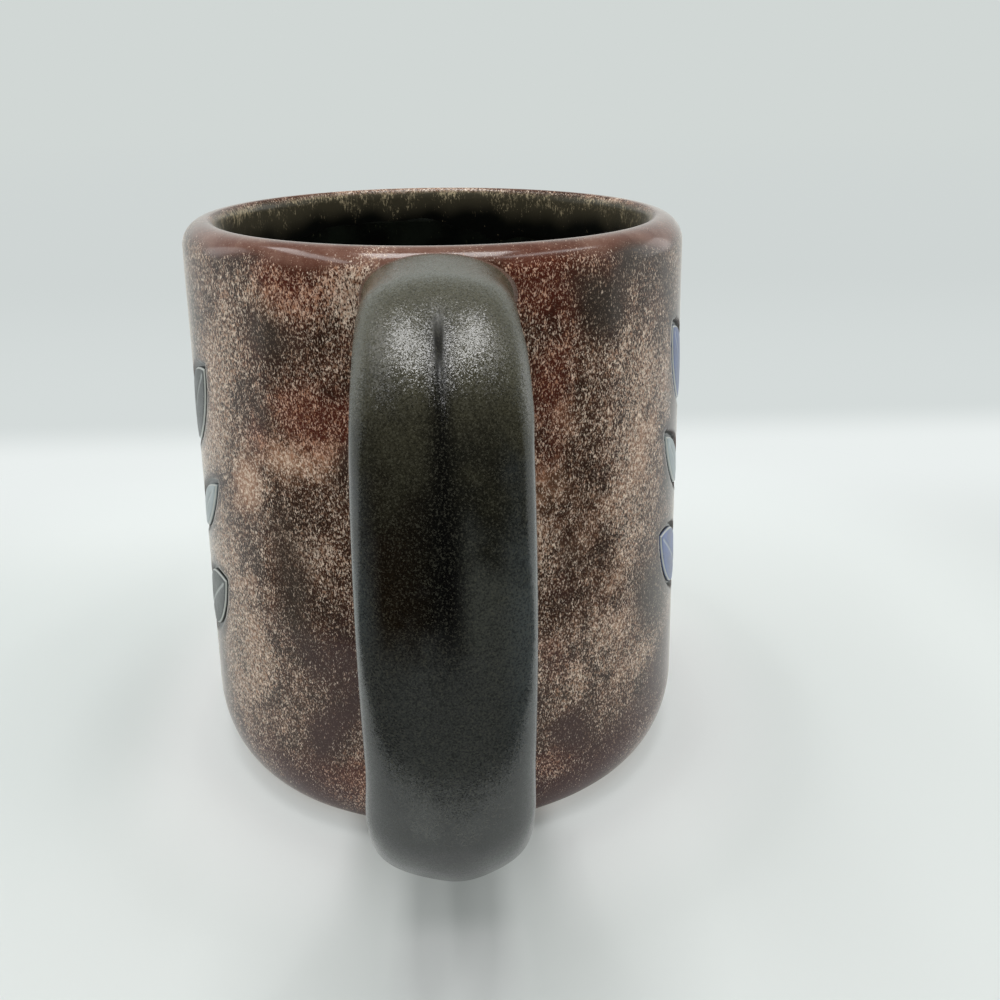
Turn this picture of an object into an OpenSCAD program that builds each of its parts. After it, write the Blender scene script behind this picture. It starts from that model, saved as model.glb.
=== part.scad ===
// A stoneware mug: a thrown cup with a strap handle joined on with slip, three coats of glaze,
// and a sprig of inlaid glaze leaves on each flank.
// The origin is the middle of the foot ring's resting plane. +Z is up and the handle is on +X.
// Left and right are as seen with the handle towards the viewer: left is -Y and right is +Y.

/* [Cup] */
// Height from the table to the crest of the lip
cup_h = 101.6; // [92:0.2:114]
// Outside diameter just under the lip
rim_d = 88; // [82:0.5:93]
// Outside diameter just above the rounded bottom corner
base_d = 93.8; // [88:0.2:100]
// Thickness of the wall with its two coats of glaze
wall_t = 5.6; // [4.6:0.1:6.6]
// Thickness of the floor with its glaze, measured from the table
floor_t = 7.5; // [6:0.1:10]
// Height of the rounded bottom corner outside
corner_h = 11.8; // [8:0.2:15]
// Distance that the rounded bottom corner draws in
corner_in = 5.7; // [4:0.1:7.5]
// Radius of the corner between wall and floor inside
well_corner_r = 9; // [5:0.5:14]

/* [Foot] */
// Width of the bare ring that stands on the table
foot_w = 6; // [4:0.2:9]
// Depth of the hollow inside the foot ring
foot_hollow = 1.5; // [0.8:0.1:2.5]
// Width of the slope between the foot ring and its hollow
foot_slope_w = 2; // [1:0.2:4]
// Height of bare clay below the glaze's lower edge
foot_bare_h = 2.2; // [1.4:0.1:3.4]

/* [Glaze] */
// Thickness of every coat of glaze
glaze_t = 0.7; // [0.4:0.05:0.9]
// Distance that the outside coat runs down inside the lip
lip_run = 8; // [4:0.5:14]

/* [Handle] */
// Reach of the handle's outer face from the axis of the cup
handle_reach = 87.6; // [81:0.2:94]
// Drop from the crest of the lip to the handle's top face
handle_drop = 0.7; // [0.6:0.1:4]
// Height of the handle's underside above the table
handle_lift = 12; // [10:0.2:18]
// Height at which the handle reaches out the farthest
handle_belly_h = 55; // [50:0.5:60]
// Width of the strap across its broad face
strap_w = 21.8; // [18:0.2:24]
// Thickness of the strap
strap_t = 12; // [9.5:0.2:13]
// Outer radius of the upper bend
top_bend_r = 25.5; // [20:0.5:32]
// Outer radius of the lower bend
low_bend_r = 29.5; // [20:0.5:32]
// Outer radius of the gentle bow between the bends
side_bow_r = 80; // [70:5:200]
// Depth of the finger crease along the upper bend
crease_d = 1; // [0.2:0.1:1.4]
// Width of the finger crease
crease_w = 3.6; // [3:0.2:7]
// Thickness of the slip between the strap's end and the wall
slip_t = 1.2; // [0.8:0.1:2]
// Distance that the joints flare out where they meet the wall
flare_w = 0.6; // [0.4:0.1:1.8]
// Length over which the flare dies away
flare_l = 6; // [4:0.5:10]

/* [Leaf sprigs] */
// Height of a sprig's lower end above the table
sprig_low = 22; // [18:0.5:26]
// Height of a sprig from the stem's foot to the top leaf's middle
sprig_h = 57; // [50:0.5:60]
// Distance from the stem to the middle of a side leaf, along the wall
sprig_spread = 15.5; // [14:0.25:18]
// Length of the largest leaf
leaf_l = 24; // [18:0.5:25]
// Width of the largest leaf
leaf_w = 10; // [7:0.2:11]
// Width of the stem
stem_w = 2; // [1.4:0.1:2.6]
// Radius of the stem's bow
stem_bow_r = 150; // [110:5:300]
// Diameter of a berry
berry_d = 4; // [3:0.1:4.6]
// Width of the carved line round each inlay
carve_w = 0.9; // [0.5:0.05:1.2]
// Thickness of an inlay, a little more than the coat round it
inlay_t = 0.9; // [0.5:0.05:1.2]

/* [Hidden] */
$fn = 96;

left = -1;
right = 1;

clay_red = [0.45, 0.27, 0.20];
slip_brown = [0.40, 0.26, 0.20];
speckled_brown = [0.42, 0.28, 0.23];
liner_black = [0.06, 0.07, 0.06];
handle_bronze = [0.18, 0.19, 0.18];
charcoal = [0.16, 0.17, 0.17];
slate_blue = [0.22, 0.27, 0.42];
pale_blue = [0.50, 0.56, 0.60];

rim_r = rim_d / 2;
base_r = base_d / 2;

// The lip's crest lies nearer to the inside, so its outer rounding is the larger one
lip_outer_share = 0.785;
lip_out = wall_t * lip_outer_share;
lip_in = wall_t - lip_out;
crest_r = rim_r - lip_out;
shoulder_z = cup_h - lip_out;
foot_r = base_r - corner_in;
arc_steps = 10;

// Radius of the outside face at a height on the straight wall
function straight_r(z) = rim_r + (base_r - rim_r) * (shoulder_z - z) / (shoulder_z - corner_h);

// Radius of the outside face at any height, with the lip's and the bottom corner's roundings
function face_r(z) =
    z > shoulder_z ? crest_r + sqrt(max(0, lip_out ^ 2 - (z - shoulder_z) ^ 2)) :
    z < corner_h ? foot_r + corner_in * sqrt(max(0, 1 - ((corner_h - z) / corner_h) ^ 2)) :
    straight_r(z);

// Points on a quarter of an ellipse about [r, z], from one angle to another, after skipping some
function quarter(r, z, reach, rise, from, to, skipped = 0) = [for (i = [skipped:arc_steps])
    let (a = from + (to - from) * i / arc_steps)
    [r + reach * cos(a), z + rise * sin(a)]];

// Angle on the bottom corner at which a coat's surface is level with the glaze's lower edge
function edge_angle(inset) = -asin((corner_h - foot_bare_h) / (corner_h - inset));

// The outside surface from the glaze's lower edge to the crest, drawn in by inset
function outside(inset) = concat(
    quarter(foot_r, corner_h, corner_in - inset, corner_h - inset, edge_angle(inset), 0),
    quarter(crest_r, shoulder_z, lip_out - inset, lip_out - inset, 0, 90));

// The place where the outside coat ends and the liner starts, inside the lip
coat_end_z = cup_h - lip_run;
function coat_end(inset) = [straight_r(coat_end_z) - wall_t + inset, coat_end_z];

// The inside surface from just past the crest down to the end of the outside coat
function inside_lip(inset) = concat(
    quarter(crest_r, cup_h - lip_in, lip_in - inset, lip_in - inset, 90, 180, 1),
    [coat_end(inset)]);

// The inside surface below that, round the corner and over the floor to the axis
well_corner_z = floor_t + well_corner_r;
well_r = straight_r(well_corner_z) - wall_t;
function well(inset) = concat(
    quarter(well_r - well_corner_r, well_corner_z, well_corner_r + inset, well_corner_r + inset,
        0, -90),
    [[0, floor_t - inset]]);

function backwards(points) = [for (i = [len(points) - 1:-1:0]) points[i]];

module cup_body() {
    color(clay_red)
    rotate_extrude()
    polygon(concat(
        [[0, foot_hollow],
            [foot_r - foot_w - foot_slope_w, foot_hollow],
            [foot_r - foot_w, 0],
            [foot_r, 0]],
        outside(glaze_t),
        inside_lip(glaze_t),
        well(glaze_t)));
}

// The clay filled in to the axis, which the ends of the handle's joints are cut to
module filled_clay() {
    rotate_extrude()
    polygon(concat([[0, foot_bare_h]], outside(glaze_t), [[0, cup_h - glaze_t]]));
}

module liner_glaze() {
    color(liner_black)
    rotate_extrude()
    polygon(concat([coat_end(0)], well(0), backwards(well(glaze_t)), [coat_end(glaze_t)]));
}

// The handle's outer face runs along three arcs: the upper bend, the bow and the lower bend
handle_top_z = cup_h - handle_drop;
upper_tip = asin((handle_top_z - top_bend_r - handle_belly_h) / (side_bow_r - top_bend_r));
lower_tip = asin((handle_belly_h - handle_lift - low_bend_r) / (side_bow_r - low_bend_r));
bow_x = handle_reach - side_bow_r;
upper_x = bow_x + (side_bow_r - top_bend_r) * cos(upper_tip);
upper_z = handle_top_z - top_bend_r;
lower_x = bow_x + (side_bow_r - low_bend_r) * cos(lower_tip);
lower_z = handle_lift + low_bend_r;
bend_steps = 14;
bow_steps = 6;
leg_steps = 3;
ring_points = 40;

// Where the strap's flat ends lie, and where the joints start inside the clay
upper_end_x = rim_r + slip_t;
lower_end_x = base_r + slip_t;
root_depth_share = 0.55;
upper_root_x = rim_r - wall_t * root_depth_share;
lower_root_x = base_r - wall_t * root_depth_share;

// A station is [x, z, angle of the outward normal] on the handle's outer face
function leg(from_x, to_x, z, angle, steps) =
    [for (i = [0:steps - 1]) [from_x + (to_x - from_x) * i / steps, z, angle]];
function bend(x, z, r, from, to, steps) = [for (i = [0:steps - 1])
    let (a = from + (to - from) * i / steps)
    [x + r * cos(a), z + r * sin(a), a]];

stations = concat(
    leg(upper_end_x, upper_x, handle_top_z, 90, leg_steps),
    bend(upper_x, upper_z, top_bend_r, 90, upper_tip, bend_steps),
    bend(bow_x, handle_belly_h, side_bow_r, upper_tip, -lower_tip, bow_steps),
    bend(lower_x, lower_z, low_bend_r, -lower_tip, -90, bend_steps),
    leg(lower_x, lower_end_x, handle_lift, -90, leg_steps),
    [[lower_end_x, handle_lift, -90]]);
last = len(stations) - 1;

// The strap is narrower on its level legs than where it stands upright
leg_width_share = 0.94;
function width_at(angle) = strap_w * (1 - (1 - leg_width_share) * sin(angle) ^ 2);

// The crease is deepest halfway round the upper bend and dies away on both sides of it
function crease_at(angle) = crease_d * max(0, sin(2 * angle));

// The flare at a distance x from the axis, near a wall of radius wall_r
function flare_at(x, wall_r) = flare_w * max(0, 1 - (x - wall_r) / flare_l) ^ 2;

// The strap's section is a rounded oval: a superellipse of this power
section_power = 2.15;
function oval(c) = sign(c) * abs(c) ^ (2 / section_power);

// One ring of the section, as points [across, outward from the outer face]
function section(angle, inset, flare) = [for (i = [0:ring_points - 1])
    let (
        a = 360 * i / ring_points,
        half_w = width_at(angle) / 2 - inset + flare,
        outer_half = strap_t / 2 - inset,
        inner_half = strap_t / 2 - inset + flare,
        across = half_w * oval(cos(a)),
        crease = crease_at(angle) * exp(-(2 * across / crease_w) ^ 2),
        outward = sin(a) > 0 ? (outer_half - crease) * oval(sin(a)) : inner_half * oval(sin(a))
    )
    [across, outward - strap_t / 2]];

// A ring in space at a station
function ring(i, inset) = let (
        at = stations[i],
        wall_r = at[2] > 0 ? rim_r : base_r,
        near_end = abs(at[2]) == 90
    ) [for (p = section(at[2], inset, near_end ? flare_at(at[0], wall_r) : 0))
        [at[0] + p[1] * cos(at[2]), p[0], at[1] + p[1] * sin(at[2])]];

// The outline of a joint at the wall, as points [across, height]
function root_outline(up, inset) = [for (p = section(up ? 90 : -90, inset, flare_w))
    [p[0], up ? handle_top_z + p[1] : handle_lift - p[1]]];

// The same outline laid on the cup's outside face, and in the plane where the joint starts
function wall_ring(up, inset) = [for (p = root_outline(up, inset))
    [sqrt(face_r(p[1]) ^ 2 - p[0] ^ 2), p[0], p[1]]];
function root_ring(up, inset) = [for (p = root_outline(up, inset))
    [up ? upper_root_x : lower_root_x, p[0], p[1]]];

// Faces between rings that follow each other, seen from outside
function skin(rings, first) = [for (i = [0:rings - 2]) for (j = [0:ring_points - 1])
    let (
        a = first + i * ring_points,
        next = (j + 1) % ring_points
    )
    each [
        [a + j, a + next, a + ring_points + j],
        [a + next, a + ring_points + next, a + ring_points + j]
    ]];
function turned(faces) = [for (f = faces) backwards(f)];
function joined(rings) = [for (r = rings) each r];

// A closed solid through a list of rings, with a flat cap at each end
module ringed_solid(rings) {
    n = len(rings);
    polyhedron(
        points = joined(rings),
        faces = concat(
            skin(n, 0),
            [[for (j = [ring_points - 1:-1:0]) j]],
            [[for (j = [0:ring_points - 1]) (n - 1) * ring_points + j]]),
        convexity = 6);
}

module handle_core() {
    color(clay_red)
    ringed_solid([for (i = [0:last]) ring(i, glaze_t)]);
}

module slip_joint(up) {
    difference() {
        ringed_solid(up ?
            [root_ring(true, glaze_t), wall_ring(true, glaze_t), ring(0, glaze_t)] :
            [ring(last, glaze_t), wall_ring(false, glaze_t), root_ring(false, glaze_t)]);
        filled_clay();
    }
}

module upper_slip_joint() {
    color(slip_brown)
    slip_joint(true);
}

module lower_slip_joint() {
    color(slip_brown)
    slip_joint(false);
}

// The coat over the strap is a tube: an outer skin, the strap's own skin and a rim at each end
module handle_glaze() {
    outer = concat([wall_ring(true, 0)], [for (i = [0:last]) ring(i, 0)], [wall_ring(false, 0)]);
    inner = concat([wall_ring(true, glaze_t)], [for (i = [0:last]) ring(i, glaze_t)],
        [wall_ring(false, glaze_t)]);
    n = len(outer);
    start = n * ring_points;
    end = (n - 1) * ring_points;
    color(handle_bronze)
    polyhedron(
        points = joined(concat(outer, inner)),
        faces = concat(
            skin(n, 0),
            turned(skin(n, start)),
            [for (j = [0:ring_points - 1])
                let (next = (j + 1) % ring_points)
                each [
                    [next, j, start + j],
                    [next, start + j, start + next],
                    [end + j, end + next, start + end + j],
                    [end + next, start + end + next, start + end + j]
                ]]),
        convexity = 8);
}

// A pointed leaf, the overlap of two circles, grown on all sides by the width of its carved line
module leaf_outline(length, width, grow) {
    r = (length ^ 2 + width ^ 2) / (4 * width);
    intersection() {
        translate([r - width / 2, 0])
        circle(r = r + grow);
        translate([width / 2 - r, 0])
        circle(r = r + grow);
    }
}

// Turns a drawing of the wall, x along it and y up, into a bar from inside the clay outwards
module through_wall(side, along, height) {
    bearing = 90 - 180 / PI * along / straight_r(height);
    rotate([0, 0, side * bearing])
    translate([straight_r(height) - wall_t * root_depth_share, 0, height])
    rotate([90, 0, 90])
    linear_extrude(height = wall_t)
    children();
}

// Each leaf is [along, height, tilt towards the handle, length, width]:
// shares of the spread, of the sprig's height, degrees, and shares of the largest leaf
left_leaf_shares = [
    [1, 0.20, 52, 1, 1],
    [-1, 0.34, -50, 1, 1],
    [1.02, 0.53, 50, 0.9, 0.56],
    [-1.02, 0.66, -48, 0.96, 0.94],
    [0.94, 0.86, 44, 0.96, 0.98],
    [-0.86, 0.96, -40, 0.8, 0.56],
    [0, 1.04, 0, 0.8, 0.9]];
right_leaf_shares = [
    [-0.96, 0.16, -54, 0.84, 0.56],
    [1, 0.30, 50, 1, 0.98],
    [-1.02, 0.46, -50, 1, 1],
    [1.02, 0.64, 46, 0.84, 0.56],
    [-0.98, 0.80, -44, 0.98, 0.94],
    [0.86, 0.95, 40, 0.92, 0.92],
    [-0.06, 1.06, -4, 0.78, 0.88]];

module leaf_bar(side, shares, grow) {
    through_wall(side, shares[0] * sprig_spread, sprig_low + shares[1] * sprig_h)
    rotate([0, 0, side * shares[2]])
    leaf_outline(leaf_l * shares[3], leaf_w * shares[4], grow);
}

// The stem bows away from the handle at its middle and ends in two round tips
stem_length_share = 0.78;
stem_l = sprig_h * stem_length_share;
module stem_outline(side, grow) {
    half = stem_l / 2;
    sag = stem_bow_r - sqrt(stem_bow_r ^ 2 - half ^ 2);
    translate([side * -stem_bow_r, 0])
    intersection() {
        difference() {
            circle(r = stem_bow_r + stem_w / 2 + grow);
            circle(r = stem_bow_r - stem_w / 2 - grow);
        }
        translate([side * stem_bow_r, 0])
        square([stem_bow_r, stem_l], center = true);
    }
    for (end = [-1, 1])
        translate([side * -sag, end * half])
        circle(d = stem_w + 2 * grow);
}

module stem_bar(side, grow) {
    through_wall(side, 0, sprig_low + stem_l / 2)
    stem_outline(side, grow);
}

// Berries stand beside the stem, as [share of the leaf's width, share of the stem's length]
left_berry_shares = [[-0.66, 0.04], [0.62, 0.37], [-0.62, 0.98]];
right_berry_shares = [[0.66, 0.04], [-0.66, 0.70], [0.6, 0.80]];
module berry_bars(side, grow) {
    for (p = side == left ? left_berry_shares : right_berry_shares)
        through_wall(side, p[0] * leaf_w, sprig_low + p[1] * stem_l)
        circle(d = berry_d + 2 * grow);
}

// A thin band of the wall, from the clay outwards, in which the inlays lie
module inlay_band() {
    low_z = sprig_low - carve_w - stem_w;
    high_z = shoulder_z;
    rotate_extrude()
    polygon([
        [straight_r(low_z) - glaze_t, low_z],
        [straight_r(low_z) - glaze_t + inlay_t, low_z],
        [straight_r(high_z) - glaze_t + inlay_t, high_z],
        [straight_r(high_z) - glaze_t, high_z]]);
}

module leaf(side, shares, glaze) {
    color(glaze)
    intersection() {
        inlay_band();
        leaf_bar(side, shares, 0);
    }
}

module stem(side) {
    color(pale_blue)
    intersection() {
        inlay_band();
        stem_bar(side, 0);
    }
}

module berries(side) {
    color(slate_blue)
    intersection() {
        inlay_band();
        berry_bars(side, 0);
    }
}

// The bar that makes room for a handle joint in the outside coat
module joint_bar(up) {
    outline = root_outline(up, glaze_t);
    start_x = up ? upper_root_x : lower_root_x;
    translate([start_x, 0, 0])
    rotate([90, 0, 90])
    linear_extrude(height = wall_t)
    polygon(outline);
}

module outer_glaze() {
    color(speckled_brown)
    difference() {
        rotate_extrude()
        polygon(concat(outside(0), inside_lip(0),
            backwards(concat(outside(glaze_t), inside_lip(glaze_t)))));
        joint_bar(true);
        joint_bar(false);
        for (shares = left_leaf_shares)
            leaf_bar(left, shares, carve_w);
        for (shares = right_leaf_shares)
            leaf_bar(right, shares, carve_w);
        for (side = [left, right]) {
            stem_bar(side, carve_w);
            berry_bars(side, carve_w);
        }
    }
}

cup_body();
handle_core();
upper_slip_joint();
lower_slip_joint();
outer_glaze();
liner_glaze();
handle_glaze();
stem(left);  // left_stem
leaf(left, left_leaf_shares[0], charcoal);  // left_leaf_1
leaf(left, left_leaf_shares[1], slate_blue);  // left_leaf_2
leaf(left, left_leaf_shares[2], pale_blue);  // left_leaf_3
leaf(left, left_leaf_shares[3], charcoal);  // left_leaf_4
leaf(left, left_leaf_shares[4], charcoal);  // left_leaf_5
leaf(left, left_leaf_shares[5], pale_blue);  // left_leaf_6
leaf(left, left_leaf_shares[6], slate_blue);  // left_leaf_7
berries(left);  // left_berries
stem(right);  // right_stem
leaf(right, right_leaf_shares[0], pale_blue);  // right_leaf_1
leaf(right, right_leaf_shares[1], slate_blue);  // right_leaf_2
leaf(right, right_leaf_shares[2], charcoal);  // right_leaf_3
leaf(right, right_leaf_shares[3], pale_blue);  // right_leaf_4
leaf(right, right_leaf_shares[4], slate_blue);  // right_leaf_5
leaf(right, right_leaf_shares[5], slate_blue);  // right_leaf_6
leaf(right, right_leaf_shares[6], charcoal);  // right_leaf_7
berries(right);  // right_berries
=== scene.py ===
# %% [markdown]
# # A stoneware mug with a strap handle
# A potter throws the cup, pulls a strap of clay for the handle and joins it on with slip.
# Three glazes are then fired over it: a speckled one outside, a black one inside and a dark
# bronze one on the handle. Leaves of other glazes lie in carved lines on both flanks.
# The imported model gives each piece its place. Here each coat of glaze is made again as a
# dense surface, worked out as numpy arrays, and each gets a material of its own.

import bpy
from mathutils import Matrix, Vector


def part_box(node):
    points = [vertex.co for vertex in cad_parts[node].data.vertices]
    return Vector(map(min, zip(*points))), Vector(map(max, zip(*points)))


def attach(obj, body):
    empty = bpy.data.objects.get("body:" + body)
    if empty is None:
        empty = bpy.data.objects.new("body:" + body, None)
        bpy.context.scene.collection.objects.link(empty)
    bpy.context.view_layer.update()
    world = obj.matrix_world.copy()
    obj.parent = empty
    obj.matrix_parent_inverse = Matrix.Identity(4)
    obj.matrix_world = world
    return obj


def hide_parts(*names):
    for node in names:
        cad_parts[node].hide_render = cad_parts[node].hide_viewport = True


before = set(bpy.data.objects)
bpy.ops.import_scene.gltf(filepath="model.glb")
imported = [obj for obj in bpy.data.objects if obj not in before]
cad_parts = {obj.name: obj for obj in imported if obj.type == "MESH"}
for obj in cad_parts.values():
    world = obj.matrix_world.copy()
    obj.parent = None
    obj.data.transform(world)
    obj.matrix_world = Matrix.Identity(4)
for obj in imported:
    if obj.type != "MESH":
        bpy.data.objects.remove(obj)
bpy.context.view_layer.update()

# %% [markdown]
# The lengths below are the model's own, in millimetres. Blender works in metres, so every
# mesh is turned into metres in one place, where it is handed to Blender.

import bpy
import numpy as np
from mathutils import Matrix, Vector

MM = 0.001

cup_h = 101.6
rim_r = 44.0
base_r = 46.9
wall_t = 5.6
floor_t = 7.5
corner_h = 11.8
corner_in = 5.7
well_corner_r = 9.0
foot_bare_h = 2.2
glaze_t = 0.7
lip_run = 8.0
lip_out = wall_t * 0.785

lip_in = wall_t - lip_out
crest_r = rim_r - lip_out
shoulder_z = cup_h - lip_out
foot_r = base_r - corner_in
coat_end_z = cup_h - lip_run

low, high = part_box("outer_glaze")
radius_off, top_off = high.y / MM - base_r, high.z / MM - cup_h
print("outer coat off by, mm: radius", round(radius_off, 3), "top", round(top_off, 3))

# %% [markdown]
# Most of the shapes need a curve that eases from 0 to 1 without a corner. Slow waves with
# unrelated periods stand for the potter's hand: they are the same in every run.

# %% Easing and slow waves


def smooth(t):
    """0 where t is below 0, 1 where it is above 1, and three t squared less two t cubed between."""
    t = np.clip(t, 0, 1)
    return t * t * (3 - 2 * t)


def waves(t, *parts):
    """The sum of sine waves of t, each given as (height, turns per unit, start in radians)."""
    return sum(height * np.sin(turns * t + start) for height, turns, start in parts)


hand_wobble = 0.09
slow_lean, quick_lean = 17, 9


def wobble(angle, z):
    """How far the thrown wall strays outwards, in mm: waves of 2, 3 and 5 crests round the cup,
    of which the last two lean as they climb, by a radian in each lean's height."""
    two = 0.5 * np.sin(2 * angle + 0.6)
    three = 0.3 * np.sin(3 * angle - 1.1 + z / slow_lean)
    five = 0.2 * np.sin(5 * angle + z / quick_lean)
    return hand_wobble * (two + three + five)


print("the rim strays by, mm:", [round(float(wobble(a, cup_h)), 3) for a in (0, 2, 4)])

# %% [markdown]
# ## From rings of points to a mesh
# Every surface here is a stack of rings: the cup turns about its axis, the handle is a strap
# carried along a path, and a leaf is its own outline drawn in again and again. One function
# joins each ring to the next with quads. The two ends are either joined to each other, as on
# a hollow coat, or closed with a fan of triangles to one point.

# %% Rings to faces


def ring_faces(rows, columns, loop):
    """Corner indices: quads between rings that follow each other, then fans to two pole points.
    Point j of ring i has index i times columns plus j, and the two poles come last."""
    i, j = np.meshgrid(np.arange(rows if loop else rows - 1), np.arange(columns), indexing="ij")
    right, here, above = (j + 1) % columns, i * columns, (i + 1) % rows * columns
    quads = np.stack([here + j, here + right, above + right, above + j], -1).reshape(-1, 4)
    if loop:
        return quads, np.zeros((0, 3), int)
    j, right = np.arange(columns), (np.arange(columns) + 1) % columns
    pole = rows * columns
    last = (rows - 1) * columns
    first_fan = np.stack([np.full(columns, pole), right, j], -1)
    last_fan = np.stack([np.full(columns, pole + 1), last + j, last + right], -1)
    return quads, np.concatenate([first_fan, last_fan])


def enclosed(points, quads, fans):
    """Volume inside the faces: a sixth of the sum over all triangles of a cross b dot c, which
    comes out above 0 only where the faces point outwards."""
    triangles = np.concatenate([quads[:, [0, 1, 2]], quads[:, [0, 2, 3]], fans])
    a, b, c = (points[triangles[:, k]] for k in range(3))
    return np.einsum("ij,ij->i", np.cross(a, b), c).sum() / 6


# %% [markdown]
# Blender can be handed whole arrays: foreach_set writes all points, corners or attribute
# values at once, which is far quicker than adding them one by one. Every piece is then hung on
# the body it rides on and given its glaze, and the imported nodes it stands for are hidden.

# %% Faces to a seated piece


def fill_mesh(name, points, quads, fans):
    """A smoothly shaded mesh of the faces, with its points turned from mm into metres."""
    corners = np.concatenate([quads.ravel(), fans.ravel()])
    quad_starts = np.arange(len(quads)) * 4
    fan_starts = len(quads) * 4 + np.arange(len(fans)) * 3
    starts = np.concatenate([quad_starts, fan_starts])
    mesh = bpy.data.meshes.new(name)
    mesh.vertices.add(len(points))
    mesh.vertices.foreach_set("co", (points * MM).astype(np.float32).ravel())
    mesh.loops.add(len(corners))
    mesh.loops.foreach_set("vertex_index", corners.astype(np.int32))
    mesh.polygons.add(len(starts))
    mesh.polygons.foreach_set("loop_start", starts.astype(np.int32))
    mesh.update(calc_edges=True)
    mesh.validate()
    mesh.polygons.foreach_set("use_smooth", np.ones(len(mesh.polygons), bool))
    return mesh


def add_numbers(mesh, numbers, rows, columns, loop):
    """Each array of ring values becomes an attribute; a pole takes the mean of the ring it closes."""
    for key, values in numbers.items():
        flat = np.broadcast_to(values, (rows, columns)).ravel()
        if not loop:
            flat = np.concatenate([flat, [flat[:columns].mean(), flat[-columns:].mean()]])
        mesh.attributes.new(key, "FLOAT", "POINT").data.foreach_set("value", flat.astype(np.float32))


def make_piece(name, rings, nodes, material, loop=False, numbers=None):
    """Makes a closed mesh from rings, an array of [ring, point, xyz] in mm, and seats it in the
    model. numbers holds, for each attribute that the material reads, one value per ring point."""
    rows, columns = rings.shape[:2]
    points = rings.reshape(-1, 3)
    if not loop:
        points = np.concatenate([points, rings[:1].mean(1), rings[-1:].mean(1)])
    quads, fans = ring_faces(rows, columns, loop)
    mesh = fill_mesh(name, points, quads, fans)
    add_numbers(mesh, numbers or {}, rows, columns, loop)
    mesh.materials.append(material)
    piece = bpy.data.objects.new(name, mesh)
    bpy.context.scene.collection.objects.link(piece)
    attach(piece, "root")
    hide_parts(*nodes)
    triangles, volume = 2 * len(quads) + len(fans), enclosed(points, quads, fans)
    print(f"{name}: {triangles} triangles, {volume:.0f} mm3 (above 0: faces point outwards)")


# %% [markdown]
# ## Materials as recipes
# A glaze is a recipe too, so each material is written as one: a shader with its fixed values,
# and then a few lines that mix noise, attributes and colours into it. The classes below make
# one node per call and hand back its output, which keeps a recipe readable.

# %% Steps of any recipe


def screen(red, green, blue):
    """A colour as it looks on a screen, 0 to 255, turned into the linear light that shaders add up."""
    c = np.array([red, green, blue]) / 255
    linear = np.where(c <= 0.04045, c / 12.92, ((c + 0.055) / 1.055) ** 2.4)
    return (*linear.tolist(), 1.0)


class Steps:
    """A node tree in the making. An input may be another step's output or a plain value."""

    def __init__(self, tree):
        self.tree = tree
        tree.nodes.clear()

    def node(self, kind, **settings):
        """A new node of one kind, with its settings."""
        node = self.tree.nodes.new(kind)
        for key, value in settings.items():
            setattr(node, key, value)
        return node

    def put(self, socket, value):
        """Links an output to a socket, or sets a plain value on it."""
        if isinstance(value, bpy.types.NodeSocket):
            self.tree.links.new(value, socket)
        else:
            socket.default_value = value

    def math(self, operation, a, b=0.0, clamp=False):
        """One calculation with two numbers."""
        math = self.node("ShaderNodeMath", operation=operation, use_clamp=clamp)
        self.put(math.inputs[0], a)
        self.put(math.inputs[1], b)
        return math.outputs[0]

    def plus(self, total, *others):
        """The sum of its parts."""
        for other in others:
            total = self.math("ADD", total, other)
        return total

    def less(self, a, b):
        """The first less the second."""
        return self.math("SUBTRACT", a, b)

    def times(self, product, *others):
        """The product of its factors."""
        for other in others:
            product = self.math("MULTIPLY", product, other)
        return product

    def ease(self, value, start, end, low=0.0, high=1.0):
        """Eases from low to high as value goes from start to end; each of them may be a step's output."""
        ease = self.node("ShaderNodeMapRange", interpolation_type="SMOOTHSTEP")
        for socket, part in zip(ease.inputs[:5], (value, start, end, low, high)):
            self.put(socket, part)
        return ease.outputs[0]


# %% [markdown]
# A material adds steps that need a surface: patterns in Object coordinates, which stay put on
# the piece, the mesh's own attributes, and relief that tilts the shading.

# %% Steps of a material


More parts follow.
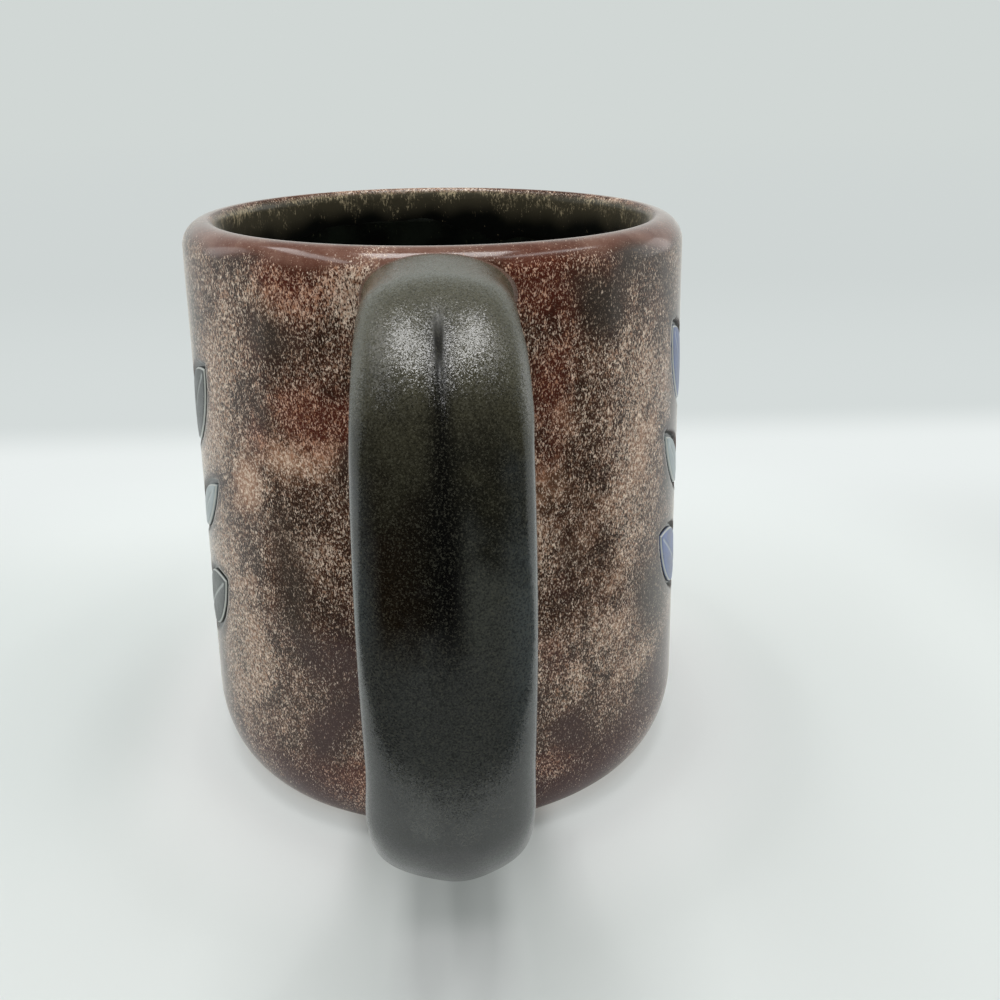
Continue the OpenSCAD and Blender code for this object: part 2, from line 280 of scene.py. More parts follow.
class Recipe(Steps):
    """A material: one shader with fixed values, and steps that feed its other sockets."""

    def __init__(self, name, **fixed):
        self.material = bpy.data.materials.new(name)
        self.material.use_nodes = True
        super().__init__(self.material.node_tree)
        self.output = self.node("ShaderNodeOutputMaterial")
        self.shader = self.node("ShaderNodeBsdfPrincipled")
        self.put(self.output.inputs["Surface"], self.shader.outputs[0])
        self.fill(**fixed)

    def fill(self, **sockets):
        """Feeds the shader's sockets, named with low lines for spaces, and hands back the material."""
        for socket, value in sockets.items():
            self.put(self.shader.inputs[socket.replace("_", " ")], value)
        return self.material

    def mix(self, share, a, b):
        """Colour a where share is 0 and colour b where it is 1."""
        mix = self.node("ShaderNodeMix", data_type="RGBA")
        for key, value in (("Factor_Float", share), ("A_Color", a), ("B_Color", b)):
            self.put(next(s for s in mix.inputs if s.identifier == key), value)
        return next(s for s in mix.outputs if s.identifier == "Result_Color")

    def number(self, name):
        """One of the mesh's own attributes."""
        return self.node("ShaderNodeAttribute", attribute_name=name).outputs["Fac"]

    def place(self, stretch=(1, 1, 1), turn=(0, 0, 0)):
        """Object coordinates, stretched: a smaller number along an axis draws the pattern out along it."""
        mapping = self.node("ShaderNodeMapping")
        mapping.inputs["Scale"].default_value = stretch
        mapping.inputs["Rotation"].default_value = turn
        self.put(mapping.inputs["Vector"], self.node("ShaderNodeTexCoord").outputs["Object"])
        return mapping.outputs[0]

    def noise(self, size_mm, detail=2.0, rough=0.5, bend=0.0, where=None):
        """Cloudy noise from 0 to 1, with lumps about size_mm across."""
        noise = self.node("ShaderNodeTexNoise")
        self.put(noise.inputs["Vector"], where or self.place())
        for socket, value in (("Scale", 1 / (size_mm * MM)), ("Detail", detail),
                              ("Roughness", rough), ("Distortion", bend)):
            noise.inputs[socket].default_value = value
        return noise.outputs[0]

    def grain_colours(self, size_mm):
        """A chance colour for each grain, in grains about size_mm across."""
        cells = self.node("ShaderNodeTexVoronoi")
        self.put(cells.inputs["Vector"], self.place())
        cells.inputs["Scale"].default_value = 1 / (size_mm * MM)
        return cells.outputs["Color"]

    def grains(self, size_mm):
        """A chance value from 0 to 1 for each grain: the red of its chance colour."""
        parts = self.node("ShaderNodeSeparateColor")
        self.put(parts.inputs[0], self.grain_colours(size_mm))
        return parts.outputs[0]

    def vector(self, operation, *parts):
        """One calculation with vectors, of which LENGTH alone gives back a number."""
        step = self.node("ShaderNodeVectorMath", operation=operation)
        for socket, part in zip(step.inputs, parts):
            self.put(socket, part)
        return step.outputs["Value" if operation == "LENGTH" else "Vector"]

    def sparkle(self, size_mm, amount, normal):
        """Tilts each grain by chance: its chance colour times amount, less half of amount, is added
        to the normal, and the sum is brought back to length 1."""
        step = self.vector("MULTIPLY_ADD", self.grain_colours(size_mm), amount, self.times(amount, -0.5))
        return self.vector("NORMALIZE", self.vector("ADD", step, normal))

    def relief(self, height, depth_mm, strength=1.0, under=None):
        """Tilts the shading as if the surface stood up by depth_mm where height is 1."""
        bump = self.node("ShaderNodeBump")
        bump.inputs["Strength"].default_value = strength
        bump.inputs["Distance"].default_value = depth_mm * MM
        self.put(bump.inputs["Height"], height)
        if under:
            self.put(bump.inputs["Normal"], under)
        return bump.outputs[0]


# %% [markdown]
# ## The shape of the cup
# The outside of the cup is a rounded bottom corner, a wall that leans in slightly, and a lip
# rounded over its crest. The formulas give a radius for each height, and the wall's radius is
# what the leaves and the handle are laid against.

# %% The outside face


def straight_r(z):
    """Radius of the straight wall, in proportion to height: the base's radius at the corner, and
    the rim's at the shoulder."""
    return rim_r + (base_r - rim_r) * (shoulder_z - z) / (shoulder_z - corner_h)


def face_r(z):
    """Radius of the outside face: a circle above the shoulder, a quarter ellipse below the corner's
    top, and the straight wall between."""
    lip = crest_r + np.sqrt(np.clip(lip_out**2 - (z - shoulder_z) ** 2, 0, None))
    corner = foot_r + corner_in * np.sqrt(np.clip(1 - ((corner_h - z) / corner_h) ** 2, 0, 1))
    return np.where(z > shoulder_z, lip, np.where(z < corner_h, corner, straight_r(z)))


def inner_r(z):
    """Radius of the cup's inside face: the straight wall's radius less the wall's thickness."""
    return straight_r(z) - wall_t


print("wall's radius at half its height, mm:", round(straight_r(cup_h / 2), 2))

# %% [markdown]
# ## The leaf sprigs
# Each leaf is the overlap of two circles, which makes a pointed outline from two numbers.
# Its place is given along the wall from the stem, which stands a quarter turn from the handle.
# The distance to the nearest outline says where the carved line runs in the coat, so the coat
# and the inlays are cut from the same formula and always fit.

# %% Places of the inlays
sprig_low, sprig_h, sprig_spread = 22.0, 57.0, 15.5
leaf_l, leaf_w = 24.0, 10.0
stem_w, stem_bow_r = 2.0, 150.0
stem_l = sprig_h * 0.78
stem_sag = stem_bow_r - np.sqrt(stem_bow_r**2 - (stem_l / 2) ** 2)
berry_d = 4.0
carve_w = 0.9
inlay_stand = 0.2

# Each leaf is (along, height, tilt, length, width), as shares of the sizes above, and degrees
leaf_shares = {
    "left": [(1, 0.20, 52, 1, 1), (-1, 0.34, -50, 1, 1), (1.02, 0.53, 50, 0.9, 0.56),
             (-1.02, 0.66, -48, 0.96, 0.94), (0.94, 0.86, 44, 0.96, 0.98),
             (-0.86, 0.96, -40, 0.8, 0.56), (0, 1.04, 0, 0.8, 0.9)],
    "right": [(-0.96, 0.16, -54, 0.84, 0.56), (1, 0.30, 50, 1, 0.98), (-1.02, 0.46, -50, 1, 1),
              (1.02, 0.64, 46, 0.84, 0.56), (-0.98, 0.80, -44, 0.98, 0.94),
              (0.86, 0.95, 40, 0.92, 0.92), (-0.06, 1.06, -4, 0.78, 0.88)]}
berry_shares = {"left": [(-0.66, 0.04), (0.62, 0.37), (-0.62, 0.98)],
                "right": [(0.66, 0.04), (-0.66, 0.70), (0.6, 0.80)]}
flank = {"left": -1, "right": 1}
print("leaves:", sum(map(len, leaf_shares.values())), "berries:", sum(map(len, berry_shares.values())))


def leaf_place(side, shares):
    """The bearing of a leaf's middle in radians, its height, and its tilt, length and width."""
    along, height, tilt, length, width = shares
    z = sprig_low + height * sprig_h
    bearing = flank[side] * (np.pi / 2 - along * sprig_spread / straight_r(z))
    return bearing, z, flank[side] * np.radians(tilt), leaf_l * length, leaf_w * width


def berry_place(side, shares):
    """The bearing of a berry in radians and its height."""
    z = sprig_low + shares[1] * stem_l
    return flank[side] * (np.pi / 2 - shares[0] * leaf_w / straight_r(z)), z


# %% [markdown]
# A drawing is laid on the wall as if it were pressed straight in: a step across it turns round
# the cup by the arc sine of the step over the radius. The step back, from the wall into the
# drawing, is the radius times the sine of the turn.

# %% From a drawing to the wall and back
out_of_reach = 1000.0


def on_wall(bearing, z, across, up, out):
    """The point of the wall that a step across and up leads to, raised outwards by out."""
    r = straight_r(z + up)
    angle = bearing + np.arcsin(across / r)
    r = r + wobble(angle, z + up) + out
    return np.stack([r * np.cos(angle), r * np.sin(angle), z + up], -1)


def to_drawing(angle, z, bearing, height, tilt):
    """Where a point of the wall lies in an inlay's own drawing; the cup's far side is out of reach."""
    s = straight_r(z) * np.sin(angle - bearing)
    v = z - height
    hidden = np.cos(angle - bearing) < 0
    across = s * np.cos(tilt) + v * np.sin(tilt) + out_of_reach * hidden
    return across, v * np.cos(tilt) - s * np.sin(tilt)


# %% Distance to the nearest inlay


def leaf_gap(p, q, length, width):
    """Distance outside a leaf's outline: the larger of the distances outside its two circles."""
    r = (length**2 + width**2) / (4 * width)
    return np.maximum(np.hypot(p - r + width / 2, q), np.hypot(p + r - width / 2, q)) - r


def stem_gap(p, q, side):
    """Distance outside the stem: from its bowed middle line, or from the centre of its round end."""
    bow = np.abs(np.hypot(p + side * stem_bow_r, q) - stem_bow_r)
    to_end = p + side * stem_sag
    ends = np.minimum(np.hypot(to_end, q - stem_l / 2), np.hypot(to_end, q + stem_l / 2))
    return np.where(np.abs(q) < stem_l / 2, bow, ends) - stem_w / 2


def inlay_gap(angle, z):
    """Distance in mm from a point of the wall to the nearest inlay's outline, below 0 inside it."""
    gap = np.full(np.broadcast(angle, z).shape, out_of_reach)
    for side, sign in flank.items():
        for shares in leaf_shares[side]:
            bearing, height, tilt, length, width = leaf_place(side, shares)
            drawn = to_drawing(angle, z, bearing, height, tilt)
            gap = np.minimum(gap, leaf_gap(*drawn, length, width))
        drawn = to_drawing(angle, z, sign * np.pi / 2, sprig_low + stem_l / 2, 0)
        gap = np.minimum(gap, stem_gap(*drawn, sign))
        for shares in berry_shares[side]:
            drawn = to_drawing(angle, z, *berry_place(side, shares), 0)
            gap = np.minimum(gap, np.hypot(*drawn) - berry_d / 2)
    return gap


# %% [markdown]
# ## The clouds in the speckled glaze
# A reactive glaze breaks into clouds: smoky where iron stays dark, rusty and plum where it
# reddens, sandy where pale crystals crowd. The clouds round the handle are listed one by one,
# as a glazer dabs them, and those at the back come from a seeded draw. Each kind becomes a value
# on the coat's points, which its material reads and roughens with noise.

# %% Clouds listed one by one
# Each cloud is (bearing in degrees, height, half width, half height, strength)
clouds = {
    "smoke": [(-36, 89, 4.5, 5, 0.8), (-43, 87, 4, 4, 0.25), (-28, 89, 4, 4, 0.3), (-39, 75, 4, 4, 0.6),
              (-20, 70, 2.5, 4, 0.7), (-27, 60, 6, 6, 0.4), (-32, 47, 5, 12, 0.75), (-48, 98, 4, 6, 0.4),
              (32, 93, 7, 6, 1.0), (46, 99, 6, 4, 0.9), (54, 36, 7, 9, 0.8), (31, 60, 5, 6, 0.3),
              (26, 52, 3, 5, 0.5), (57, 92, 4, 8, 0.6)],
    "ember": [(-22, 75, 6, 5, 1.0), (20, 80, 4, 7, 0.9), (20, 95, 6, 6, 1.1), (-20, 12, 7, 6, 0.7),
              (-26, 97, 8, 4, 0.8), (20, 68, 3, 6, 0.6), (-41, 71, 4, 4, 0.6), (20, 33, 4, 6, 0.5),
              (38, 99, 9, 3, 0.6), (22, 12, 8, 4, 0.6), (-29, 79, 4, 3, 0.4), (-32, 84, 14, 18, 0.35)],
    "plum": [(42, 12, 12, 7, 0.7), (-36, 9, 10, 5, 0.6), (-25, 21, 4, 8, 0.9), (-30, 36, 4, 6, 0.7),
             (23, 46, 3, 8, 0.5), (27, 19, 5, 5, 0.8), (-22, 36, 3, 10, 0.7), (60, 18, 6, 8, 0.3)],
    "sand": [(-52, 32, 8, 14, 0.9), (20, 54, 4, 8, 0.9), (34, 35, 7, 8, 0.8), (-52, 82, 7, 9, 0.8),
             (47, 75, 8, 12, 0.9), (-38, 23, 6, 5, 0.25), (47, 56, 7, 10, 1.0), (-20, 96, 6, 4, 0.9),
             (-26, 57, 4, 5, 0.6), (23, 28, 4, 5, 0.7), (-60, 66, 6, 20, 0.7), (-39, 94, 8, 4, 0.7),
             (-31, 70, 8, 4.5, 0.65), (-38, 61, 5, 5, 0.6), (-54, 26, 6, 8, 0.7), (-61, 42, 4, 12, 0.9),
             (31, 87, 4, 4, 0.2), (40, 86, 4, 5, 0.5), (30, 73, 6, 8, 0.25), (50, 25, 5, 6, 0.8),
             (60, 75, 3, 14, 0.8), (186, 101, 15, 5, 1.3), (-150, 101, 9, 4, 0.9), (118, 100, 8, 4, 0.8)],
    "peach": [(-44, 61.5, 4.6, 5.5, 0.65), (-38, 94, 9, 4, 0.4), (-31, 70, 8, 4, 0.5),
              (21, 63, 3, 5, 0.35), (22, 76, 3, 6, 0.2), (50, 66, 4, 7, 0.5), (-50, 40, 4, 9, 0.4),
              (32, 62, 13, 18, 0.34), (34, 33, 13, 13, 0.3), (-34, 60, 12, 14, 0.2)]}

# %% Clouds at the back
# For each kind, how many and how strong at most
back_clouds = {"smoke": (12, 1.2), "ember": (12, 1.1), "plum": (12, 1.1), "sand": (10, 0.9),
               "peach": (8, 0.6)}
back_bearings, back_heights = (66, 294), (10, 96)
back_half_widths, back_half_heights = (4, 9), (5, 12)
back_strengths = (0.6, 1.0)
draw = np.random.default_rng(12)
for kind, (count, strongest) in back_clouds.items():
    for _ in range(count):
        shape = [draw.uniform(*limits) for limits in
                 (back_bearings, back_heights, back_half_widths, back_half_heights)]
        clouds[kind].append((*shape, draw.uniform(*back_strengths) * strongest))
print({kind: len(found) for kind, found in clouds.items()}, "clouds")

# %% The field of a kind of cloud
strongest_field = 1.2


def cloud_field(kind, angle, z):
    """The sum over the clouds of strength times e to the minus squared distance, where distance
    is counted in half widths across and half heights up, and both stray in slow waves."""
    lean = waves(z, (1.6, 0.13, 0.4), (0.9, 0.31, 2.0)) + waves(angle, (1.2, 9, 0.3))
    total = np.zeros(np.broadcast(angle, z).shape)
    for bearing, height, half_w, half_h, strength in clouds[kind]:
        turn_to = (angle - np.radians(bearing) + np.pi) % (2 * np.pi) - np.pi
        across = (turn_to * rim_r + lean) / half_w
        up = (z - height + waves(angle, (1.5, 11, 1.0))) / half_h
        total += strength * np.exp(-(across**2) - up**2)
    return np.clip(total, 0, strongest_field)


# %% [markdown]
# ## The speckled glaze
# The real glaze is a dark red-brown glass in which pale crystals float up as a web of fine
# streaks, longer than they are wide because the glaze creeps down the wall. Noise stretched
# along the height and cut at a level gives the web; moving that level makes it dense or thin.

# %% The web of flecks
fleck_size, fleck_stretch, fleck_lean, fleck_bend = 0.24, (1, 1, 0.5), np.radians(32), 0.6
level_bare, level_crowded = 0.72, 0.44
fleck_from, fleck_to = -0.01, 0.16


def web_of_flecks(glaze, density):
    """Pale streaks that lean either way: the larger of two fine noises is kept where it passes a
    level, and that level falls as the density rises."""
    leans = (fleck_lean, fleck_lean, 0), (-fleck_lean, -fleck_lean, 0)
    leaning = [glaze.noise(fleck_size, detail=1.0, bend=fleck_bend, where=glaze.place(fleck_stretch, lean))
               for lean in leans]
    fine = glaze.math("MAXIMUM", *leaning)
    level = glaze.ease(density, 0.0, 1.0, level_bare, level_crowded)
    return glaze.ease(fine, glaze.plus(level, fleck_from), glaze.plus(level, fleck_to))


# How much each kind of cloud crowds the flecks, or thins them where the number is below 0
cloud_pushes = {"sand": 0.2, "peach": 0.1, "smoke": -0.2, "plum": -0.27, "ember": -0.01}
usual_density, density_drift = 0.58, 0.5
root_push, foot_pull, heel_pull = 0.3, 0.03, 0.28
lip_pull, lip_pull_in_sand = 0.43, 0.08
carved_halo, carved_near, carved_pull = 3.4, 0.8, 0.35


def fleck_density(glaze, zone, drift, grain, lip, foot, carved):
    """From none at 0 to crowded at 1: the usual density and its drift, pushed by the clouds, more
    at the handle's root, and less on the lip, at the foot and beside a carved line."""
    dense = glaze.plus(usual_density, glaze.times(drift, density_drift), glaze.times(grain, density_drift))
    for kind, push in cloud_pushes.items():
        dense = glaze.plus(dense, glaze.times(zone[kind], push))
    dense = glaze.plus(dense, glaze.times(glaze.number("root"), root_push))
    bald = glaze.times(lip, glaze.ease(zone["sand"], 0, 1, lip_pull, lip_pull_in_sand))
    dense = glaze.less(dense, bald)
    dense = glaze.less(dense, glaze.times(foot, foot_pull))
    dense = glaze.less(dense, glaze.times(glaze.number("heel"), heel_pull))
    beside_line = glaze.ease(carved, carved_halo, carved_near, 0.0, carved_pull)
    return glaze.math("SUBTRACT", dense, beside_line, clamp=True)


# %% [markdown]
# Under the flecks the glass takes the colour of the clouds. Where the glaze runs thin over the
# lip it is paler and smoother, and low on the wall it is a deep red-brown.

# %% Colours of the glass and the flecks
glass_dark, glass_light = screen(44, 20, 4), screen(72, 35, 15)
# The tone of each kind of cloud, and how far it covers the glass
cloud_tones = {"ember": (screen(88, 28, 9), 0.8), "plum": (screen(62, 36, 32), 1.0),
               "peach": (screen(160, 112, 82), 1.0), "smoke": (screen(58, 50, 43), 0.85)}
lip_dark, lip_light = screen(101, 63, 51), screen(132, 99, 86)
foot_tone, foot_cover = screen(56, 8, 3), 0.9
fleck_dull, fleck_bright = screen(170, 128, 101), screen(250, 229, 208)
fleck_rusty, fleck_smoky = screen(216, 140, 100), screen(156, 138, 120)


def glass_colour(glaze, zone, drift, lip, foot):
    """The brown glass, covered by each kind of cloud in turn, then by the lip's and the foot's tone."""
    ground = glaze.mix(glaze.ease(drift, -0.2, 0.25), glass_dark, glass_light)
    for kind, (tone, cover) in cloud_tones.items():
        ground = glaze.mix(glaze.times(zone[kind], cover), ground, tone)
    lip_tone = glaze.mix(glaze.ease(drift, -0.2, 0.2), lip_dark, lip_light)
    ground = glaze.mix(lip, ground, lip_tone)
    return glaze.mix(glaze.times(foot, foot_cover), ground, foot_tone)


def fleck_colour(glaze, zone):
    """Dull to bright by a fine noise, rustier in the embers and greyer in the smoke."""
    bright = glaze.ease(glaze.noise(0.62, detail=2, rough=0.6), 0.32, 0.68)
    fleck = glaze.mix(bright, fleck_dull, fleck_bright)
    fleck = glaze.mix(glaze.times(zone["ember"], 0.4), fleck, fleck_rusty)
    return glaze.mix(glaze.times(zone["smoke"], 0.5), fleck, fleck_smoky)


# %% Inside the lip
olive, well_black, pale_run = screen(76, 70, 54), screen(10, 11, 8), screen(206, 188, 152)


def inside_the_lip(glaze, colour, inner):
    """Down the inside the brown turns olive and then black, with fine pale runs that thin out."""
    shade = glaze.mix(glaze.ease(inner, 0.3, 1.0), olive, well_black)
    streak = glaze.noise(0.34, detail=3, rough=0.7, bend=0.8, where=glaze.place((1, 1, 0.34)))
    patch = glaze.ease(glaze.noise(3.2, detail=2), 0.3, 0.7, 0.56, 0.4)
    level = glaze.plus(patch, glaze.times(inner, 0.22))
    run_down = glaze.ease(streak, level, glaze.plus(level, 0.16), 0.0, 0.85)
    shade = glaze.mix(run_down, shade, pale_run)
    return glaze.mix(glaze.ease(inner, 0.0, 0.15), colour, shade)


# %% The speckled glaze's recipe
dust_tone, carved_dark = screen(178, 150, 128), screen(17, 16, 15)


def speckled_glaze():
    """Glass, the web of flecks over it, a fine dust, and last the dark of the carved lines."""
    glaze = Recipe("speckled_glaze", IOR=1.5, Specular_IOR_Level=0.24, Sheen_Weight=0.75,
                   Sheen_Roughness=0.2, Sheen_Tint=screen(238, 234, 226),
                   Coat_Weight=0.32, Coat_Roughness=0.12)
    lip, foot, carved = glaze.number("lip"), glaze.number("foot"), glaze.number("carved")
    drift = glaze.less(glaze.noise(7, detail=4, rough=0.6), 0.5)
    grain = glaze.less(glaze.noise(1.6, detail=3, rough=0.6), 0.5)
    rough_edge = glaze.plus(glaze.times(drift, 0.9), glaze.times(grain, 0.5))
    zone = {kind: glaze.ease(glaze.plus(glaze.number(kind), rough_edge), 0.15, 0.95) for kind in clouds}
    web = web_of_flecks(glaze, fleck_density(glaze, zone, drift, grain, lip, foot, carved))
    ground = glass_colour(glaze, zone, drift, lip, foot)
    colour = glaze.mix(glaze.times(web, 0.9), ground, fleck_colour(glaze, zone))
    dust = glaze.ease(glaze.noise(0.2, detail=1), 0.62, 0.74, 0.0, 0.3)
    colour = glaze.mix(dust, colour, dust_tone)
    colour = inside_the_lip(glaze, colour, glaze.number("inner"))
    colour = glaze.mix(glaze.ease(carved, 1.15, 0.7), colour, carved_dark)
    gloss = glaze.less(glaze.ease(web, 0, 1, 0.34, 0.46), glaze.times(lip, 0.24))
    hills = glaze.relief(glaze.noise(2.6, detail=2), 0.05, 0.5)
    return glaze.fill(Base_Color=colour, Roughness=gloss, Normal=glaze.relief(web, 0.02, 0.6, hills))


speckled = speckled_glaze()
print("made", speckled.name, "with", len(speckled.node_tree.nodes), "nodes")

# %% [markdown]
# ## The outer coat
# The coat is a thin shell: up the outside, over the lip, a little way down inside, and back
# along the clay. Its rings are cut finest where the leaves are. There, points near the carved
# line are pulled onto its two edges, so that the line runs clean whichever way it turns.

# %% Columns and rows of the coat
fine_step, coarse_turn = 0.46, 1.9
flank_half = np.degrees((sprig_spread + leaf_l / 2) / rim_r)
fine_columns = int(2 * np.radians(flank_half) * rim_r / fine_step)
gap_columns = int((180 - 2 * flank_half) / coarse_turn)
rows_begin, rows_end = sprig_low - 3, shoulder_z - 3.5


def steps_of(start, end, count):
    """Even steps from start, with the end left out."""
    return np.linspace(start, end, count, endpoint=False)


degrees = np.concatenate([
    steps_of(-90 - flank_half, -90 + flank_half, fine_columns),
    steps_of(-90 + flank_half, 90 - flank_half, gap_columns),
    steps_of(90 - flank_half, 90 + flank_half, fine_columns),
    steps_of(90 + flank_half, 270 - flank_half, gap_columns)])
turn = np.radians(degrees)
wall_z = np.concatenate([steps_of(corner_h, rows_begin, 6),
                         np.arange(rows_begin, rows_end, fine_step),
                         steps_of(rows_end, shoulder_z, 6)])
print("columns:", len(turn), "wall rows:", len(wall_z))

# %% [markdown]
# The carved line is a valley with a rounded shoulder, because melted glaze draws back from an
# edge. Its depth stops just short of the clay, and the inlays stand in the same valley.

# %% Carving the coat
coat_clear, valley_clear = 0.04, 0.06
coat_t = glaze_t - coat_clear
edge_half = 0.21
edge_levels = (carve_w - edge_half, carve_w + edge_half)
nudge, least_slope = 0.02, 0.3
on_flank = (np.abs(degrees) > 90 - flank_half) & (np.abs(degrees) < 90 + flank_half)

wall_angle = np.broadcast_to(turn, (len(wall_z), len(turn))).copy()
wall_height = np.broadcast_to(wall_z[:, None], wall_angle.shape).copy()
for _ in range(2):
    gap = inlay_gap(wall_angle, wall_height)
    turned = inlay_gap(wall_angle + nudge / straight_r(wall_height), wall_height)
    raised = inlay_gap(wall_angle, wall_height + nudge)
    slope_s, slope_z = (turned - gap) / nudge, (raised - gap) / nudge
    steep = np.maximum(slope_s**2 + slope_z**2, least_slope)
    pull = np.zeros_like(gap)
    for level in edge_levels:
        pull = np.where(np.abs(gap - level) < edge_half, level - gap, pull)
    pull = pull * on_flank
    wall_angle += pull * slope_s / steep / straight_r(wall_height)
    wall_height += pull * slope_z / steep
gap = inlay_gap(wall_angle, wall_height)
carved_depth = (coat_t - valley_clear) * (1 - smooth((gap - edge_levels[0]) / (2 * edge_half)))
carved_wall = straight_r(wall_height) + wobble(wall_angle, wall_height) - carved_depth
print("deepest carving, mm:", round(float(carved_depth.max()), 2))

# %% [markdown]
# Glaze never ends in a straight line: it stops in slow waves above the foot, and runs down
# inside in drips. Both edges close with a bead, half a circle that bulges the way the coat runs.

# %% Edges of the coat
edge_z = foot_bare_h + waves(turn, (0.16, 3, 0.5), (0.12, 7, 1.9), (0.08, 13, 0.7), (0.05, 29, 2.2))
drip = 1.2 + waves(turn, (0.9, 2, 2.9), (0.6, 5, 0.4), (0.5, 11, 1.3), (0.35, 23, 0.2))
least_drip = 0.2
inside_end_z = coat_end_z - np.clip(drip, least_drip, None)
low_angle = -np.arcsin((corner_h - edge_z) / corner_h)
bead_bulge = 0.8


def corner_rows(share, inset):
    """The bottom corner, a quarter ellipse: from the glaze's own lower edge, at share 0, up to
    level with the wall, at 1."""
    a = low_angle * (1 - share[:, None])
    return foot_r + (corner_in - inset) * np.cos(a), corner_h + (corner_h - inset) * np.sin(a)


def circle_rows(z, radius, angles):
    """Rows along a circle about the lip's crest line: radius and height from cosine and sine."""
    a = np.radians(angles)[:, None] + 0 * turn
    return crest_r + radius * np.cos(a), z + radius * np.sin(a)


def inside_rows(share, inset):
    """Down the inside: from below the lip's inner rounding, at share 0, to the coat's end, at 1."""
    start = cup_h - lip_in
    z = start + (inside_end_z - start) * share[:, None]
    return inner_r(z) + inset, z


def bead(front, back, way_r, way_z):
    """Half a circle between two rows of points, bulging the way that the coat would run."""
    a = np.radians([135, 90, 45])[:, None]
    half = [(f - b) / 2 for f, b in zip(front, back)]
    size = np.hypot(*half) * bead_bulge
    r = (front[0] + back[0]) / 2 + half[0] * np.cos(a) + size * way_r * np.sin(a)
    z = (front[1] + back[1]) / 2 + half[1] * np.cos(a) + size * way_z * np.sin(a)
    return r, z


# %% Stacking the coat's rings
corner_count, lip_out_count, lip_in_count, inside_count = 24, 16, 8, 9
back_inside_count, back_lip_in_count, back_lip_out_count, back_wall_count, back_corner_count = 4, 6, 8, 10, 8
end_thinner = 0.16

corner = corner_rows(steps_of(0, 1, corner_count), 0)
lip_outside = circle_rows(shoulder_z, lip_out, steps_of(0, 90, lip_out_count))
lip_inside = circle_rows(cup_h - lip_in, lip_in, steps_of(90, 180, lip_in_count))
way_down = np.linspace(0, 1, inside_count)
inside = inside_rows(way_down, end_thinner * smooth((way_down[:, None] - 0.5) * 2))

back_inside = inside_rows(np.linspace(1, 0, back_inside_count), coat_t)
back_angles = np.linspace(180, 90, back_lip_in_count)[1:-1]
back_lip_in = circle_rows(cup_h - lip_in, lip_in - coat_t, back_angles)
back_lip_out = circle_rows(shoulder_z, lip_out - coat_t, np.linspace(90, 0, back_lip_out_count))
back_z = np.linspace(shoulder_z, corner_h, back_wall_count)[1:-1, None] + 0 * turn
back_wall = (straight_r(back_z) - coat_t, back_z)
back_corner = corner_rows(np.linspace(1, 0, back_corner_count), coat_t)

tangent_r, tangent_z = corner_in * np.sin(low_angle), -corner_h * np.cos(low_angle)
tangent_l = np.hypot(tangent_r, tangent_z)
low_bead = bead([p[:1] for p in corner], [p[-1:] for p in back_corner],
                tangent_r / tangent_l, tangent_z / tangent_l)
end_bead = bead([p[:1] for p in back_inside], [p[-1:] for p in inside], 0 * turn, -1 + 0 * turn)

# %% One array of rings
parts = [corner, (carved_wall, wall_height), lip_outside, lip_inside, inside, end_bead,
         back_inside, back_lip_in, back_lip_out, back_wall, back_corner, low_bead]
r = np.concatenate([part[0] for part in parts])
z = np.concatenate([part[1] for part in parts])
wall_top = corner_count + len(wall_z)
on_carved_wall = slice(corner_count, wall_top)
angle = np.broadcast_to(turn, r.shape).copy()
angle[on_carved_wall] = wall_angle
still_even = np.ones(len(r), bool)
still_even[on_carved_wall] = False
r[still_even] += wobble(angle[still_even], z[still_even])
coat_rings = np.stack([r * np.cos(angle), r * np.sin(angle), z], -1)
print("coat:", len(r), "rings of", len(turn), "points")

# %% [markdown]
# The coat's points also carry what the recipe asks for: the clouds, how near the lip, the foot
# and the heel below it are, how near the handle's root is, how far down inside the lip a point
# lies, and how far it is from a carved line.

# %% Values on the coat's points
numbers = {kind: cloud_field(kind, angle, z) for kind in clouds}

lip_line_above = 1.2
lip_line = shoulder_z + lip_line_above + waves(angle, (0.6, 4, 0.2), (0.5, 9, 1.1), (0.4, 17, 0.5))
lip_strength = 0.86 + waves(angle, (-0.12, 3, 0.4), (0.06, 7, 2.0))
lip_fade, crest_fade = 2.2, 1.0
outer_side = smooth((r - crest_r + crest_fade) / crest_fade)
numbers["lip"] = smooth((z - lip_line) / lip_fade) * outer_side * lip_strength

rows_front = wall_top + lip_out_count + lip_in_count + inside_count
row = np.arange(len(r))[:, None]
inner_face = (row >= wall_top + lip_out_count + 3) & (row < rows_front)
run_down_waves = ((0.7, 1, 2.2), (0.8, 3, 0.9), (0.8, 8, 0.1), (0.6, 19, 0.6), (0.4, 37, 1.3))
run_down_l = 7.4 + waves(angle, *run_down_waves)
below_crest = cup_h - 0.2 - z
numbers["inner"] = np.where(inner_face, np.clip(below_crest / run_down_l, 0, 1), 0)

far_from_carving = 9.0
carved = np.full(r.shape, far_from_carving)
carved[on_carved_wall] = np.clip(gap, -2, far_from_carving)
numbers["carved"] = carved

foot_top = 17 + waves(angle, (1.5, 3, 0.8), (1.0, 7, 0.3))
heel_top = 11 + waves(angle, (1.8, 4, 0.5), (1.2, 11, 1.7))
foot_fade = 9
numbers["foot"] = smooth((foot_top - z) / foot_fade)
numbers["heel"] = smooth((heel_top - z) / foot_fade)

root_z, root_halo_r, root_halo_w, root_halo_low = 92, 12.5, 3.0, 89
from_root = np.hypot(angle * rim_r, (z - root_z) * 0.9)
root_halo = np.exp(-(((from_root - root_halo_r) / root_halo_w) ** 2))
left_of_root = (angle < 0) & (np.abs(angle) < 1)
numbers["root"] = root_halo * left_of_root * smooth((z - root_halo_low) / 4)

make_piece("outer_coat", coat_rings, ["outer_glaze"], speckled,
           loop=True, numbers=numbers)

